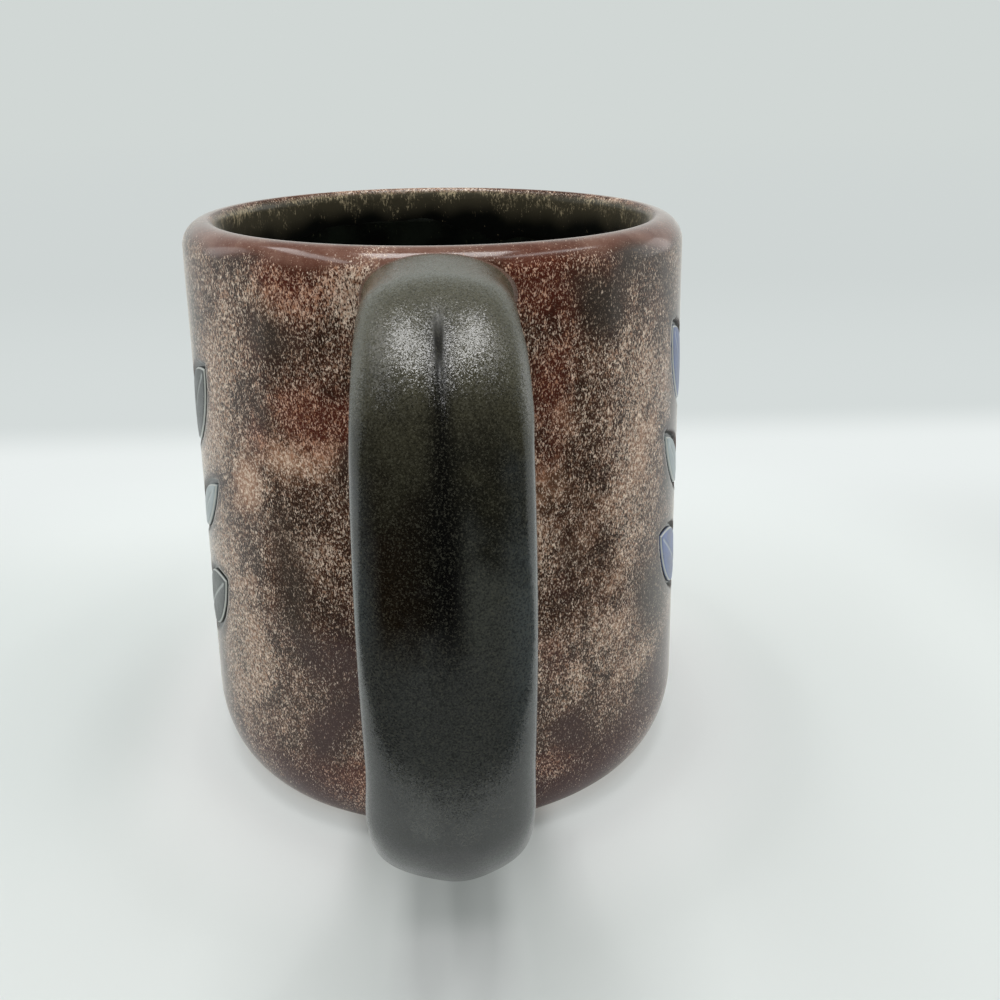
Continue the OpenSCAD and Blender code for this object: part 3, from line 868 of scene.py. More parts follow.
# %% [markdown]
# ## The liner
# The inside is black glass with a little green in it, run smooth and shiny. Throwing leaves a
# low spiral on the floor of the cup, which the wet gloss shows up, so the floor's height is a
# wave of the distance from the middle and of the turn.

# %% Liner recipe
liner_dark, liner_green, liner_dust = screen(9, 10, 8), screen(24, 29, 22), screen(88, 88, 66)


def black_liner():
    """Two near blacks in slow clouds, with a little pale dust that has run down the wall."""
    glaze = Recipe("black_liner", IOR=1.52, Coat_Weight=0.4, Coat_Roughness=0.06)
    cloud = glaze.noise(9, detail=4, rough=0.6)
    colour = glaze.mix(glaze.ease(cloud, 0.35, 0.7), liner_dark, liner_green)
    dust = glaze.ease(glaze.noise(0.5, detail=2, where=glaze.place((1, 1, 0.4))), 0.66, 0.76)
    colour = glaze.mix(glaze.times(dust, 0.25), colour, liner_dust)
    gloss = glaze.ease(cloud, 0.3, 0.7, 0.16, 0.26)
    return glaze.fill(Base_Color=colour, Roughness=gloss, Normal=glaze.relief(glaze.noise(3.5), 0.03, 0.5))


# %% Liner surface
well_z = floor_t + well_corner_r
well_r = inner_r(well_z)
well_floor_r = well_r - well_corner_r
under_coat, pole_r = 2.2, 0.6
liner_turn = np.radians(steps_of(0, 360, 192))


def liner_profile(inset, side_rows, corner_steps, floor_rows):
    """Radius and height, sunk by inset: down the wall from its top edge under the coat, round a
    quarter circle, and over the floor towards the axis."""
    side_z = np.linspace(coat_end_z + under_coat, well_z, side_rows)[:-1]
    a = np.radians(np.linspace(0, -90, corner_steps))
    floor_r = np.linspace(well_floor_r, pole_r, floor_rows)[1:]
    bend_r = well_floor_r + (well_corner_r + inset) * np.cos(a)
    bend_z = well_z + (well_corner_r + inset) * np.sin(a)
    r = np.concatenate([inner_r(side_z) + inset, bend_r, floor_r])
    z = np.concatenate([side_z, bend_z, np.full(len(floor_r), floor_t - inset)])
    return r[:, None] + 0 * liner_turn, z[:, None] + 0 * liner_turn


liner_sunk, liner_clear = 0.14, 0.02
front_counts, back_counts = (70, 26, 48), (12, 10, 6)
liner_r, liner_z = liner_profile(liner_sunk, *front_counts)
back_r, back_z = liner_profile(glaze_t - liner_clear, *back_counts)

# %% Throwing marks of the liner
spiral_pitch, spiral_h = 6.5, 0.07
ring_pitch, ring_h = 9, 0.05
mark_fade = 6
on_floor = smooth((well_z - liner_z) / mark_fade)
spiral = np.sin(2 * np.pi * liner_r / spiral_pitch - liner_turn)
spiral_ends = smooth(liner_r / mark_fade) * smooth((well_r - liner_r) / 5)
liner_z = liner_z + spiral_h * spiral * on_floor * spiral_ends
rings_up = np.sin(2 * np.pi * liner_z / ring_pitch + liner_turn)
below_coat = smooth((coat_end_z - 3 - liner_z) / mark_fade)
liner_r = liner_r + ring_h * rings_up * (1 - on_floor) * below_coat

r = np.concatenate([back_r[::-1], liner_r])
z = np.concatenate([back_z[::-1], liner_z])
liner_rings = np.stack([r * np.cos(liner_turn), r * np.sin(liner_turn), z], -1)
make_piece("liner_coat", liner_rings, ["liner_glaze"], black_liner())

# %% [markdown]
# ## The handle
# A handle is pulled from a lump of clay with a wet hand, so its section changes smoothly along
# the way: narrower on the level ends, widest where it stands upright, with a crease where the
# thumb ran. It is made here as a rounded oval carried along three arcs, and near the wall
# every ring bends to lie on the cup and swells into a fillet.

# %% Sizes of the handle
handle_top_z = cup_h - 0.7
handle_reach = 87.6
handle_lift = 12.0
belly_z = 55.0
strap_w, strap_t = 21.8, 12.0
top_r, low_r, bow_r = 25.5, 29.5, 80.0
flare_w, flare_l = 0.6, 6.0
near_wall, sunk = 2.4, 1.4
step, wall_step = 0.62, 0.2

upper_tip = np.arcsin((handle_top_z - top_r - belly_z) / (bow_r - top_r))
lower_tip = np.arcsin((belly_z - handle_lift - low_r) / (bow_r - low_r))
bow_x = handle_reach - bow_r
upper_x = bow_x + (bow_r - top_r) * np.cos(upper_tip)
lower_x = bow_x + (bow_r - low_r) * np.cos(lower_tip)
upper_wall, lower_wall = rim_r, straight_r(handle_lift + strap_t / 2)

# %% The handle's path


def arc(x, z, r, start, end):
    """Points along an arc as [x, z, angle of the outward normal], a step apart."""
    a = steps_of(start, end, max(2, int(abs(end - start) * r / step)))
    return np.stack([x + r * np.cos(a), z + r * np.sin(a), a], -1)


def level_run(start, end, z, normal, spacing=step):
    """Points along a level line in the same form, a spacing apart."""
    x = steps_of(start, end, max(2, int(abs(end - start) / spacing)))
    return np.stack([x, 0 * x + z, 0 * x + normal], -1)


path = np.concatenate([
    level_run(upper_wall - sunk, upper_wall + near_wall, handle_top_z, np.pi / 2, wall_step),
    level_run(upper_wall + near_wall, upper_x, handle_top_z, np.pi / 2),
    arc(upper_x, handle_top_z - top_r, top_r, np.pi / 2, upper_tip),
    arc(bow_x, belly_z, bow_r, upper_tip, -lower_tip),
    arc(lower_x, handle_lift + low_r, low_r, -lower_tip, -np.pi / 2),
    level_run(lower_x, lower_wall + near_wall, handle_lift, -np.pi / 2),
    level_run(lower_wall + near_wall, lower_wall - sunk, handle_lift, -np.pi / 2, wall_step)])
px, pz, normal = (path[:, k][:, None] for k in range(3))
steps_along = np.hypot(np.diff(path[:, 0]), np.diff(path[:, 1]))
run = np.concatenate([[0], np.cumsum(steps_along)])[:, None]
print("handle:", len(path), "stations along", round(float(run[-1, 0]), 1), "mm of outer face")

# %% [markdown]
# The section is a superellipse, a circle squared slightly: its height over a share of the half
# width is one less a power of that share, rooted again. The power rises where the strap was
# pressed flat. The points round a ring are drawn together near the crease, which needs them.

# %% The handle's section
ring_points, drawn_together = 208, 0.2
section_power, flat_power = 2.15, 0.6
around = steps_of(0, 2 * np.pi, ring_points)[None, :]
around = around + drawn_together * np.sin(2 * around)
side = np.cos(around)


def stretch(start, rise, end, fall):
    """1 along a stretch of the run: it rises from start over rise mm and sinks from end over fall mm."""
    return smooth((run - start) / rise) * (1 - smooth((run - end) / fall))


pressed_flat = stretch(6, 14, 56, 34)
top_bend, low_bend = stretch(22, 8, 38, 8), stretch(88, 14, 118, 12)
power = section_power + flat_power * pressed_flat
print("section's power:", round(float(power.min()), 2), "to", round(float(power.max()), 2))
oval = (1 - np.abs(side) ** power) ** (1 / power)

# %% [markdown]
# Where the strap meets the wall it flares a little and then swells into a round fillet of slip.
# The two edges aren't mirror images, as in any pulled handle: each bend is pressed out unevenly.

# %% Width of each ring
far_from_wall = 60.0
level_leg = np.abs(np.abs(normal) - np.pi / 2) < 1e-6
from_wall = np.where(normal > 0, px - upper_wall, px - lower_wall)
wall_gap = np.where(level_leg, from_wall, far_from_wall)
print("stations on the two level ends:", int(level_leg.sum()))
flare = flare_w * np.clip(1 - np.clip(wall_gap, 0, None) / flare_l, 0, 1) ** 2
fillet_r = 0.7 + 0.25 * side
near = np.clip(wall_gap / fillet_r, 0, 1)
fillet = fillet_r * (1 - np.sqrt(1 - (1 - near) ** 2))
left_swell, right_swell = 0.7 * low_bend, 0.35 * low_bend + 0.30 * top_bend
uneven = np.where(side < 0, left_swell, right_swell) * np.abs(side)
narrower_share = 0.06
width = strap_w * (1 - narrower_share * np.sin(normal) ** 2)
half_w = width / 2 + flare + fillet + uneven
across = half_w * side

# %% [markdown]
# The thumb leaves a crease down the outer face of the top bend, sharp at its bottom, within a
# wide shallow hollow. The crease falls off as e to the minus distance, and the hollow as e to
# the minus squared distance.

# %% Thickness of each ring
crease_d, crease_w = 0.4, 1.0
hollow_d, hollow_w = 0.9, 7.0
crown_h, crown_side, crown_w = 0.6, 1.2, 4.5
thumbed = np.clip(np.sin(2 * normal), 0, None) * smooth((run - 21) / 10)
crease = crease_d * thumbed * np.exp(-np.abs(2 * across / crease_w))
hollow = hollow_d * stretch(13, 13, 28, 20) * np.exp(-((2 * across / hollow_w) ** 2))
low_crown = crown_h * low_bend * np.exp(-(((across - crown_side) / crown_w) ** 2))
low_fillet = np.where(normal < 0, fillet * 0.6, 0)
outer_half = strap_t / 2 - (crease + hollow) + low_crown + low_fillet
inner_half = strap_t / 2 + flare + fillet
outward = np.where(np.sin(around) > 0, outer_half, -inner_half) * oval - strap_t / 2

two_lobes = 0.07 * np.sin(run / 9 + 1.0) * np.cos(2 * around)
three_lobes = 0.05 * np.sin(run / 5.2) * np.cos(3 * around + 0.6)
outward = outward + (two_lobes + three_lobes) * smooth(wall_gap / 6)

# %% Laying the rings along the path and on the wall
bend_to_wall = 6.5
hx = px + outward * np.cos(normal)
hz = pz + outward * np.sin(normal)
laid = np.sqrt(face_r(hz) ** 2 - across**2) + wall_gap
flat_share = smooth(wall_gap / bend_to_wall)
hx = np.where(level_leg, laid * (1 - flat_share) + hx * flat_share, hx)
handle_rings = np.stack([hx, across, hz], -1)
print("handle: widest", round(float(np.ptp(across, axis=1).max()), 2), "mm")

# %% [markdown]
# The handle's glaze is thick and nearly black, with a metallic dust in it. Each grain tilts
# the surface a little, so a highlight breaks into sparks. Its broad tones are mostly painted
# light and shade: the grey-green top is painted light from above over the glaze's olive, the
# grey low down and on the right half is painted reflection, the pale grey-blue along the edges
# is a painted glint, and the lower edges are painted darker as shade. The brown in the middle
# is the glaze's own, and the glaze thins to brown where it meets the wall. Along the crease the
# colour is painted darker, as shade and as glaze lying thick, and in the head of the crease it
# lies thick and matt.

# %% Values on the handle's points
thumb_w, groove_w, groove_edge = 1.6, 0.7, 0.3
groove_half = groove_w * (1 - 0.5 * smooth((run - 24) / 12))
in_groove = smooth((groove_half - np.abs(across)) / groove_edge + 0.5)
handle_numbers = {
    "across": across / (strap_w / 2),
    "run": run + 0 * around,
    "wall_gap": wall_gap + 0 * around,
    # where the crease is painted darker, as shade and as glaze lying thick
    "crease_shade_and_pool": np.exp(-((across / thumb_w) ** 2)) * stretch(22, 9, 60, 14),
    "groove": in_groove * stretch(24, 8, 31, 6)}

# %% Shades of the handle
top_lit_green, middle_black = screen(72, 69, 53), screen(8, 7, 4)
rust_brown, right_reflection_grey, low_reflection_grey = screen(30, 20, 7), screen(62, 63, 58), screen(57, 58, 56)
edge_painted_glint, end_black, low_edge_shade = screen(70, 75, 76), screen(7, 8, 8), screen(14, 15, 15)
crease_shade_and_pool_black = screen(5, 4, 3)


def handle_shades(glaze, place, across):
    """Broad tones by the place along the handle, in mm, and the share of the half width across."""
    # painted light: the top is grey-green where light from above falls, over the glaze's olive
    colour = glaze.mix(glaze.ease(place, 24, 60), top_lit_green, middle_black)
    brown = glaze.times(glaze.ease(place, 40, 60), glaze.ease(place, 105, 80), glaze.ease(across, 0.1, -0.6))
    colour = glaze.mix(glaze.times(brown, 0.8), colour, rust_brown)
    # painted reflection: paler grey on the right half, from the middle down
    right = glaze.times(glaze.ease(across, 0.02, 0.36), glaze.ease(place, 50, 62))
    colour = glaze.mix(right, colour, right_reflection_grey)
    # painted reflection: grey low down, where the lower bend mirrors the floor
    colour = glaze.mix(glaze.ease(place, 59, 77), colour, low_reflection_grey)
    # painted glint: pale grey-blue along both edges of the middle and lower handle
    left_edge = glaze.times(glaze.ease(across, -0.62, -0.96), glaze.ease(place, 76, 62))
    right_edge = glaze.times(glaze.ease(across, 0.5, 0.9), glaze.ease(place, 92, 80))
    edge_glint_share = glaze.times(glaze.plus(left_edge, right_edge), glaze.ease(place, 40, 62))
    colour = glaze.mix(glaze.times(edge_glint_share, 0.8), colour, edge_painted_glint)
    colour = glaze.mix(glaze.ease(place, 82, 102), colour, end_black)
    # painted shade: the lower edges are darker
    across_size = glaze.math("ABSOLUTE", across)
    low_edge_shade_share = glaze.times(glaze.ease(across_size, 0.4, 0.85), glaze.ease(place, 70, 84))
    colour = glaze.mix(glaze.times(low_edge_shade_share, 0.75), colour, low_edge_shade)
    # painted shade along the crease, where the glaze also lies thick
    return glaze.mix(glaze.times(glaze.number("crease_shade_and_pool"), 0.9), colour, crease_shade_and_pool_black)


# %% Handle recipe
speck_pale, speck_dark, thin_brown = screen(92, 90, 76), screen(5, 5, 4), screen(92, 66, 52)


def bronze_glaze():
    """The broad tones, then pale and dark specks, then brown where the glaze thins at the wall."""
    glaze = Recipe("bronze_glaze", IOR=1.6)
    cloud = glaze.noise(8, detail=4, rough=0.6)
    run_mm = glaze.number("run")
    place = glaze.plus(run_mm, glaze.times(glaze.less(cloud, 0.5), 30))
    colour = handle_shades(glaze, place, glaze.number("across"))
    dust, grain = glaze.noise(0.3, detail=2, rough=0.7), glaze.grains(0.17)
    speck = glaze.plus(glaze.times(dust, 1.2), glaze.times(grain, 0.4))
    colour = glaze.mix(glaze.ease(speck, 0.84, 1.08, 0.0, 0.3), colour, speck_pale)
    colour = glaze.mix(glaze.ease(speck, 0.78, 0.6, 0.0, 0.45), colour, speck_dark)
    edge = glaze.plus(glaze.number("wall_gap"), glaze.times(glaze.noise(1.2), 0.8))
    colour = glaze.mix(glaze.ease(edge, 1.2, 0.7), colour, thin_brown)
    gloss = glaze.plus(glaze.ease(cloud, 0.3, 0.7, 0.19, 0.25), glaze.times(grain, 0.08))
    gloss = glaze.less(gloss, glaze.ease(run_mm, 36, 44, 0.0, 0.06))
    gloss = glaze.math("ADD", gloss, glaze.times(glaze.number("groove"), 0.8), clamp=True)
    hills = glaze.relief(glaze.noise(2.2, detail=3), 0.06, 0.35)
    sparks = glaze.sparkle(0.12, glaze.ease(run_mm, 36, 46, 0.31, 0.1), hills)
    return glaze.fill(Base_Color=colour, Roughness=gloss, Normal=sparks)


make_piece("handle_coat", handle_rings, ["handle_glaze"], bronze_glaze(),
           numbers=handle_numbers)

# %% [markdown]
# ## The inlays
# Each inlay is a small pool of glaze that has set in its own outline, so it stands up in the
# middle and rolls over at the edge. Its rings are the outline drawn in step by step: a leaf
# drawn in is again the overlap of two circles, with smaller radii about the same centres.

# %% Inlay recipe
inlay_dust, vein_pale = screen(176, 180, 178), screen(196, 200, 198)
rim_pale, seam_dark = screen(198, 200, 194), screen(20, 19, 18)


def inlay_glaze(name, dark, light):
    """Satin glaze between two colours, with a pale line along the edge and a pale midrib."""
    glaze = Recipe(name, IOR=1.5, Coat_Weight=0.15, Coat_Roughness=0.25)
    cloud = glaze.noise(4.5, detail=3, rough=0.55)
    colour = glaze.mix(glaze.ease(cloud, 0.3, 0.7), dark, light)
    grain = glaze.noise(0.4, detail=2)
    colour = glaze.mix(glaze.ease(grain, 0.58, 0.72, 0, 0.3), colour, inlay_dust)
    colour = glaze.mix(glaze.times(glaze.number("vein"), 0.55), colour, vein_pale)
    edge = glaze.number("edge")
    rim = glaze.times(glaze.ease(edge, 0.06, 0.16), glaze.ease(edge, 0.42, 0.26))
    colour = glaze.mix(rim, colour, rim_pale)
    colour = glaze.mix(glaze.ease(edge, 0.07, 0.0), colour, seam_dark)
    return glaze.fill(Base_Color=colour, Roughness=glaze.ease(cloud, 0.3, 0.7, 0.3, 0.42),
                      Normal=glaze.relief(grain, 0.015, 0.4))


inlay_glazes = {
    "charcoal_inlay": inlay_glaze("charcoal_inlay", screen(34, 37, 36), screen(58, 62, 60)),
    "slate_blue_inlay": inlay_glaze("slate_blue_inlay", screen(74, 86, 128), screen(106, 122, 170)),
    "pale_blue_inlay": inlay_glaze("pale_blue_inlay", screen(132, 144, 148), screen(166, 176, 178))}
print("made", *inlay_glazes)

# %% [markdown]
# A leaf's rings run round the outline with more points near the two tips. The height rises
# from the carved floor over a rounded shoulder, and sinks again by a hair along the midrib.

# %% Section of an inlay
inlay_clear, under_sunk = 0.06, 0.02
pad_floor = -(glaze_t - inlay_clear)
pad_under = pad_floor - under_sunk
shoulder_w, shoulder_power, crown_reach = 0.95, 2.6, 3.5
leaf_crown, berry_crown = 0.12, 0.1


def pad_height(edge, crown):
    """Height over the wall at a distance inside the edge: it rises from the carved floor as a
    quarter superellipse over shoulder_w, and then swells by crown."""
    t = np.clip(edge / shoulder_w, 0, 1)
    rise = (1 - (1 - t) ** shoulder_power) ** (1 / shoulder_power)
    return pad_floor + (inlay_stand - crown - pad_floor) * rise + crown * smooth(edge / crown_reach)


# %% A leaf's rings
shoulder_edges = [0.0, 0.03, 0.08, 0.16, 0.28, 0.42, 0.6, 0.8, 1.0]
crown_start, crown_count = 1.25, 12
under_start, under_count = 0.35, 4
leaf_points = 36


def leaf_rings(length, width):
    """The across and up of rings drawn in by edge: the underside's outwards, then the top's inwards.
    Each side is an arc of half angle arc cosine of the centre's distance over the radius."""
    r = (length**2 + width**2) / (4 * width)
    centre = r - width / 2
    crown_edges = np.linspace(crown_start, width / 2 * 0.97, crown_count)
    under_edges = np.linspace(width / 2 * 0.9, under_start, under_count)
    edges = np.concatenate([under_edges, shoulder_edges, crown_edges])
    half = np.arccos(centre / (r - edges))[:, None]
    t = np.sin(np.linspace(-np.pi / 2, np.pi / 2, leaf_points + 1))[None, :-1]
    radius = (r - edges)[:, None]
    right = np.stack([radius * np.cos(half * t) - centre, radius * np.sin(half * t)], -1)
    return np.concatenate([right, -right], 1), edges


# %% Leaves
rib_w, rib_d, rib_start, rib_fade = 0.55, 0.16, 0.8, 1.2
vein_half, vein_edge, vein_start, vein_fade = 0.34, 0.2, 0.7, 0.5


def add_leaf(side, number, slot):
    """Gives the drawn-in outlines their heights, tilts them and lays them on the wall."""
    bearing, z, tilt, length, width = leaf_place(side, leaf_shares[side][number - 1])
    flat, edges = leaf_rings(length, width)
    p, q = flat[..., 0], flat[..., 1]
    edge = edges[:, None] + 0 * p
    top = np.arange(len(edges))[:, None] >= under_count
    rib = rib_d * np.exp(-((2 * p / rib_w) ** 2)) * smooth((edge - rib_start) / rib_fade)
    out = np.where(top, pad_height(edge, leaf_crown) - rib, pad_under)
    s, v = p * np.cos(tilt) - q * np.sin(tilt), p * np.sin(tilt) + q * np.cos(tilt)
    vein = smooth((vein_half - np.abs(p)) / vein_edge) * smooth((edge - vein_start) / vein_fade) * top
    name = f"{side}_leaf_{number}"
    make_piece(name + "_inlay", on_wall(bearing, z, s, v, out), [name], inlay_glazes[slot],
               numbers={"edge": np.where(top, edge, 0), "vein": vein})


leaf_slots = {
    "left": ["charcoal", "slate_blue", "pale_blue", "charcoal", "charcoal", "pale_blue", "slate_blue"],
    "right": ["pale_blue", "slate_blue", "charcoal", "pale_blue", "slate_blue", "slate_blue", "charcoal"]}
for side_name in flank:
    for number, glaze_name in enumerate(leaf_slots[side_name], 1):
        add_leaf(side_name, number, glaze_name + "_inlay")

# %% [markdown]
# The stem is a dome-shaped section carried along its bow and drawn in round at both ends. A
# berry is the same dome, turned about its middle. The points of a stem's rings run the other
# way round from a leaf's, so the volume printed for it is below 0: its faces point inwards.

# %% Stems
stem_rows, dome_points = 90, 13
under_shares = [0.6, 0.0, -0.6]


def add_stem(side):
    """Sections across the bowed middle line, half as wide as the root of the end circle's square
    less the squared way past its centre."""
    sign = flank[side]
    along = np.sin(np.linspace(-np.pi / 2, np.pi / 2, stem_rows)[1:-1]) * (stem_l / 2 + stem_w / 2)
    past_end = np.clip(np.abs(along) - stem_l / 2, 0, None)
    half = np.sqrt(np.clip((stem_w / 2) ** 2 - past_end**2, 1e-4, None))[:, None]
    on_bow = np.clip(np.abs(along), 0, stem_l / 2)
    bow = (np.sqrt(stem_bow_r**2 - on_bow**2) - stem_bow_r)[:, None]
    top_shares = -np.cos(np.linspace(0, np.pi, dome_points))
    share = np.concatenate([top_shares, under_shares])[None, :]
    is_top = np.arange(share.size)[None, :] < dome_points
    edge = np.where(is_top, half * (1 - np.abs(share)), 0)
    out = np.where(is_top, pad_height(edge, 0.0), pad_under)
    up = along[:, None] + 0 * share
    rings = on_wall(sign * np.pi / 2, sprig_low + stem_l / 2, half * share + sign * bow, up, out)
    make_piece(side + "_stem_inlay", rings[:, ::-1], [side + "_stem"],
               inlay_glazes["pale_blue_inlay"], numbers={"edge": edge[:, ::-1], "vein": 0 * edge})


# %% Berries
berry_points = 40
berry_under_edges = [1.2, 0.5]
berry_top_edges = [0.0, 0.04, 0.1, 0.2, 0.35, 0.55, 0.8, 1.1, 1.5, 1.85]


def add_berry(side, number):
    """Circles drawn in by edge, the underside's outwards and then the top's inwards, on the wall."""
    bearing, z = berry_place(side, berry_shares[side][number - 1])
    round_turn = steps_of(0, 2 * np.pi, berry_points)[None, :]
    edges = np.array(berry_under_edges + berry_top_edges)[:, None]
    top = np.arange(edges.size)[:, None] >= len(berry_under_edges)
    radius = berry_d / 2 - edges
    out = np.where(top, pad_height(edges, berry_crown), pad_under) + 0 * round_turn
    rings = on_wall(bearing, z, radius * np.cos(round_turn), radius * np.sin(round_turn), out)
    edge = np.where(top, edges, 0)
    make_piece(f"{side}_berry_{number}", rings, [side + "_berries"],
               inlay_glazes["slate_blue_inlay"], numbers={"edge": edge, "vein": 0 * edge})


for side_name in flank:
    add_stem(side_name)
    for number in range(1, len(berry_shares[side_name]) + 1):
        add_berry(side_name, number)

# %% [markdown]
# ## Clay and slip
# What shows of the cup itself is the unglazed foot: fired stoneware, buff-brown and matt, with
# darker grog in it. The handle's core and its slip joints are of the same clay. These pieces
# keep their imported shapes, and only get a material.

# %% Clay recipe
grog_dark, grog_pale = screen(70, 48, 36), screen(190, 158, 128)


def bare_clay(name, dark, light):
    """Two earth tones in soft clouds, with dark and pale grains of grog, rough all over."""
    clay = Recipe(name, IOR=1.45)
    cloud = clay.noise(6, detail=4, rough=0.6)
    colour = clay.mix(clay.ease(cloud, 0.3, 0.7), dark, light)
    grog = clay.noise(0.7, detail=2)
    colour = clay.mix(clay.ease(grog, 0.62, 0.7), colour, grog_dark)
    colour = clay.mix(clay.ease(grog, 0.36, 0.3), colour, grog_pale)
    return clay.fill(Base_Color=colour, Roughness=clay.ease(cloud, 0.3, 0.7, 0.7, 0.85),
                     Normal=clay.relief(grog, 0.06, 0.7))


stoneware = bare_clay("stoneware_clay", screen(122, 88, 68), screen(150, 112, 86))
slip = bare_clay("joining_slip", screen(104, 74, 58), screen(124, 90, 70))
clay_nodes = {"cup_body": stoneware, "handle_core": stoneware,
              "upper_slip_joint": slip, "lower_slip_joint": slip}
for name, material in clay_nodes.items():
    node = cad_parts[name]
    node.data.materials.clear()
    node.data.materials.append(material)
    print(name, "wears", material.name)

# %% [markdown]
# ## The card it stands on
# The mug stands on pale card that turns up behind it. Here the card is one flat floor, and its
# turn is painted, so that no wall is in the way when the mug is looked at from behind. Near
# the mug the card is lit like any surface, with painted light and shade in its colour as well:
# it is paler behind the mug, towards the turn, and darker on the left beside the mug, as a
# painted shadow. Further out a glow of the backdrop's tone takes over, with painted light where
# the card turns up. Round the foot and under the handle's bow the card is painted paler, and
# right at the foot it glows a little. Both are aids: they stand for light thrown back and forth
# between the real card and the glaze, which keeps the shadows there soft.

# %% The card's recipe
floor_half = 12000.0
card_near, card_back_painted_light, card_pale, card_left_shadow = (
    screen(226, 230, 228), screen(234, 238, 237), screen(251, 253, 252), screen(218, 223, 221))
glow_near, glow_turn_painted_light, glow_up, glow_back, glow_round = (
    screen(222, 227, 225), screen(234, 239, 238), screen(213, 219, 218), screen(207, 213, 212),
    screen(209, 215, 213))
bounce_end, bounce_full, most_bounce = 53.5, 45.5, 0.4
glow_start, glow_full = 120, 200


def over(card, value, start_mm, end_mm, low=0.0, high=1.0):
    """Eases from low to high over a stretch of the floor that is given in mm."""
    return card.ease(value, start_mm * MM, end_mm * MM, low, high)


def lit_card(card, front, aside, right, away, open_floor):
    """The lit card: painted paler behind, round the foot and below the bow; a painted shadow on the left."""
    # painted light: paler behind the mug, towards the card's turn
    lit = card.mix(over(card, front, -20, -130), card_near, card_back_painted_light)
    round_foot = card.times(over(card, away, 76, 50), open_floor)
    below_bow = card.times(over(card, aside, 13, 4), over(card, front, 62, 70), over(card, front, 105, 85))
    lit = card.mix(card.plus(round_foot, below_bow), lit, card_pale)
    # painted shadow: the card is darker on the left beside the mug
    beside_mug = card.times(over(card, right, -50, -75), over(card, front, -100, -30))
    painted_shadow_left = card.times(beside_mug, over(card, front, 90, 10))
    return card.mix(painted_shadow_left, lit, card_left_shadow)


def card_glow(card, front, away):
    """The glow's colour: painted light at the card's turn, the backdrop above it, then one tone all round.
    """
    # painted light: paler where the card turns up behind the mug
    tone = card.mix(over(card, front, -50, -130), glow_near, glow_turn_painted_light)
    tone = card.mix(over(card, front, -150, -195), tone, glow_up)
    tone = card.mix(over(card, front, -200, -500), tone, glow_back)
    tone = card.mix(over(card, away, 500, 2500), tone, glow_round)
    glow = card.node("ShaderNodeEmission")
    card.put(glow.inputs["Color"], tone)
    return glow.outputs[0]


def pale_card():
    """Mixes the lit card with the glow: a little right at the foot, and all of it further out.
    X grows from the cup's axis towards the front, and Y towards the right."""
    card = Recipe("pale_card", IOR=1.45, Roughness=0.45, Specular_IOR_Level=0.25)
    place = card.node("ShaderNodeTexCoord").outputs["Object"]
    axes = card.node("ShaderNodeSeparateXYZ")
    card.put(axes.inputs[0], place)
    front, right = axes.outputs["X"], axes.outputs["Y"]
    away = card.vector("LENGTH", place)
    aside = card.math("ABSOLUTE", right)
    under_handle = card.times(over(card, aside, 21, 13), over(card, front, 30, 45))
    open_floor = card.less(1.0, under_handle)
    card.fill(Base_Color=lit_card(card, front, aside, right, away, open_floor))
    bounce = card.times(over(card, away, bounce_end, bounce_full, 0.0, most_bounce), open_floor)
    both = card.node("ShaderNodeMixShader")
    card.put(both.inputs[0], card.math("MAXIMUM", bounce, over(card, away, glow_start, glow_full)))
    card.put(both.inputs[1], card.shader.outputs[0])
    card.put(both.inputs[2], card_glow(card, front, away))
    card.put(card.output.inputs["Surface"], both.outputs[0])
    return card.material


# %% The floor


def set_stage(name, points, faces, material):
    """A plain mesh in mm, with its material, that isn't part of the mug but of the stage."""
    mesh = bpy.data.meshes.new(name)
    mesh.from_pydata((np.array(points) * MM).tolist(), [], faces)
    mesh.materials.append(material)
    prop = bpy.data.objects.new(name, mesh)
    bpy.context.scene.collection.objects.link(prop)
    return prop


floor_points = [(-floor_half, -floor_half, 0), (floor_half, -floor_half, 0),
                (floor_half, floor_half, 0), (-floor_half, floor_half, 0)]
set_stage("floor", floor_points, [(0, 1, 2, 3)], pale_card())
print("card:", 2 * floor_half / 1000, "m wide")

# %% [markdown]
# ## The dark room in front
# The photographer stands in a dark room, and the dark handle mirrors that room. A dark cloth
# stands for it: a ring of floor in front of the mug, a bowed wall and a ceiling. The camera
# can't see it, it throws no shadow and no soft light, and only mirror-like rays meet it.

# %% The dark room
room_near, room_far, room_top, room_back = 115, 450, 850, -300
room_half_turn, room_columns, cloth_lift = 78, 17, 1
room_turn = np.radians(np.linspace(-room_half_turn, room_half_turn, room_columns))
ring = np.stack([np.cos(room_turn), np.sin(room_turn)], -1)
room_rows = [np.column_stack([ring * r, np.full(room_columns, z)])
             for r, z in ((room_near, cloth_lift), (room_far, cloth_lift), (room_far, room_top))]
ceiling = [(x, y, room_top) for x in (room_back, room_far) for y in (-room_far, room_far)]
room_points = np.concatenate([*room_rows, ceiling])
i, j = np.meshgrid(np.arange(len(room_rows) - 1), np.arange(room_columns - 1), indexing="ij")
start = (i * room_columns + j).ravel()
room_faces = np.stack([start, start + 1, start + 1 + room_columns, start + room_columns], -1)
ceiling_face = np.array([[0, 1, 3, 2]]) + len(room_rows) * room_columns
room_faces = np.concatenate([room_faces, ceiling_face])

black_cloth = Recipe("black_cloth", Base_Color=screen(10, 10, 10), Roughness=0.9).material
room = set_stage("dark_room", room_points, room_faces.tolist(), black_cloth)
room.visible_camera = room.visible_shadow = room.visible_diffuse = False
print("dark room:", len(room_faces), "faces")

# %% [markdown]
# ## Lights
# One soft light hangs straight above. Two long strips hang above on either side, for narrow
# glints in the gloss, and two panels stand behind on either side, for light on the flanks.
# Rectangles of light are used because a glossy glaze mirrors their shape.

# %% Lights


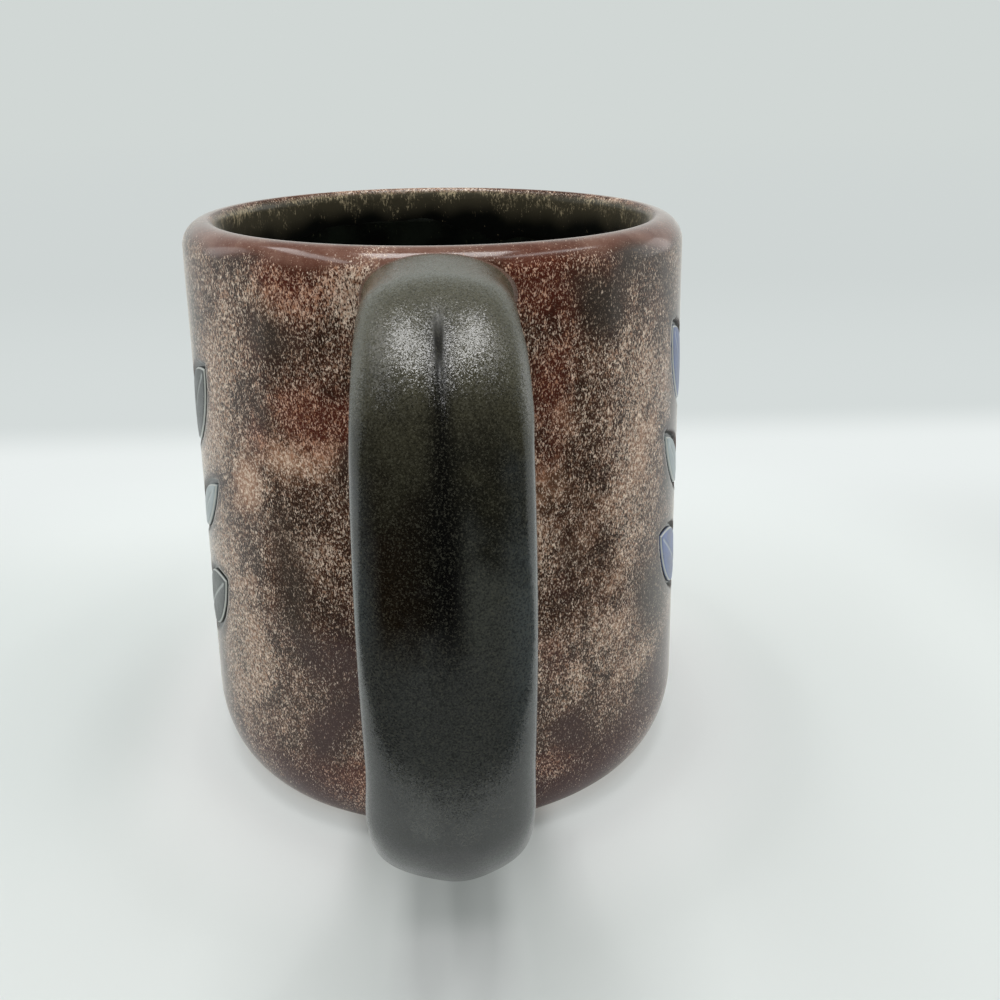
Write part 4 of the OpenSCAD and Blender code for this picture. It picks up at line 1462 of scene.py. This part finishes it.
def soft_light(name, place, aim, width, depth, power):
    """A rectangle of light at place, in mm, that faces aim, with its power in watts."""
    lamp = bpy.data.lights.new(name, "AREA")
    lamp.shape = "RECTANGLE"
    lamp.size, lamp.size_y = width * MM, depth * MM
    lamp.energy = power
    light = bpy.data.objects.new(name, lamp)
    bpy.context.scene.collection.objects.link(light)
    light.location = Vector(place) * MM
    way = Vector(aim) - Vector(place)
    light.rotation_euler = way.to_track_quat("-Z", "Y").to_euler()


mug_middle = (40, 0, 60)
soft_light("key_from_above", (-10, -2, 640), (-10, -2, 60), 205, 330, 2.0)
soft_light("left_panel", (-250, -560, 340), mug_middle, 150, 360, 0.17)
soft_light("left_strip", (10, -345, 620), (10, 0, 100), 720, 75, 0.68)
soft_light("right_strip", (0, 305, 600), (-180, 65, 60), 390, 60, 0.34)
soft_light("right_panel", (-250, 560, 210), mug_middle, 300, 280, 0.25)

# %% [markdown]
# ## The studio round the mug
# The world stands for the pale studio. What the eye or a mirror-like surface sees is a backdrop
# that darkens towards the ceiling. Soft light comes half from that backdrop and half from a
# brighter sky, because a shader can tell which kind of ray has met it.

# %% The studio's light
world = bpy.data.worlds.new("studio")
world.use_nodes = True
bpy.context.scene.world = world
studio = Steps(world.node_tree)
direction = studio.node("ShaderNodeSeparateXYZ")
studio.put(direction.inputs[0], studio.node("ShaderNodeTexCoord").outputs["Generated"])
upwards = direction.outputs["Z"]


def glow_of(colour, strength):
    """A background of one colour whose strength may change with the direction."""
    background = studio.node("ShaderNodeBackground")
    studio.put(background.inputs["Color"], colour)
    studio.put(background.inputs["Strength"], strength)
    return background.outputs[0]


sky = glow_of(screen(244, 247, 246), studio.ease(upwards, 0.3, 0.75, 0.81, 0.64))
backdrop = glow_of(screen(209, 215, 213), studio.ease(upwards, 0.36, 0.72, 1.0, 0.26))
rays = studio.node("ShaderNodeLightPath")
backdrop_share = 0.5
for kind in ("Is Camera Ray", "Is Glossy Ray", "Is Transmission Ray"):
    backdrop_share = studio.math("MAXIMUM", rays.outputs[kind], backdrop_share)
which = studio.node("ShaderNodeMixShader")
for socket, part in zip(which.inputs, (backdrop_share, sky, backdrop)):
    studio.put(socket, part)
studio.put(studio.node("ShaderNodeOutputWorld").inputs["Surface"], which.outputs[0])
print("world:", len(world.node_tree.nodes), "nodes")

# %% [markdown]
# ## The camera
# The camera was worked out from the outlines of the rim and the wall: it stands low and close,
# just to one side of the handle, and looks down by 23 degrees. Its three axes are worked out
# from those angles and set as one matrix.

# %% Camera
camera_place = (185.4, 0.0, 124.1)
camera_yaw, camera_down, camera_roll = np.radians([3.53, 23.08, -0.31])
focal_share = 1.0
sensor_w = 36
nearest, farthest = 0.01, 20

level_share, drop = np.cos(camera_down), np.sin(camera_down)
ahead = Vector((-np.cos(camera_yaw) * level_share, np.sin(camera_yaw) * level_share, -drop))
level_right = Vector((np.sin(camera_yaw), np.cos(camera_yaw), 0))
level_up = level_right.cross(ahead)
right = level_right * np.cos(camera_roll) + level_up * np.sin(camera_roll)
upward = level_up * np.cos(camera_roll) - level_right * np.sin(camera_roll)
turned_axes = Matrix([right, upward, -ahead]).transposed().to_4x4()

camera_data = bpy.data.cameras.new("camera")
camera_data.sensor_width = sensor_w
camera_data.lens = focal_share * sensor_w
camera_data.clip_start, camera_data.clip_end = nearest, farthest
camera = bpy.data.objects.new("camera", camera_data)
bpy.context.scene.collection.objects.link(camera)
camera.matrix_world = Matrix.Translation(Vector(camera_place) * MM) @ turned_axes
bpy.context.scene.camera = camera
bpy.context.scene.view_settings.view_transform = "Standard"
print("camera at, mm:", camera_place)
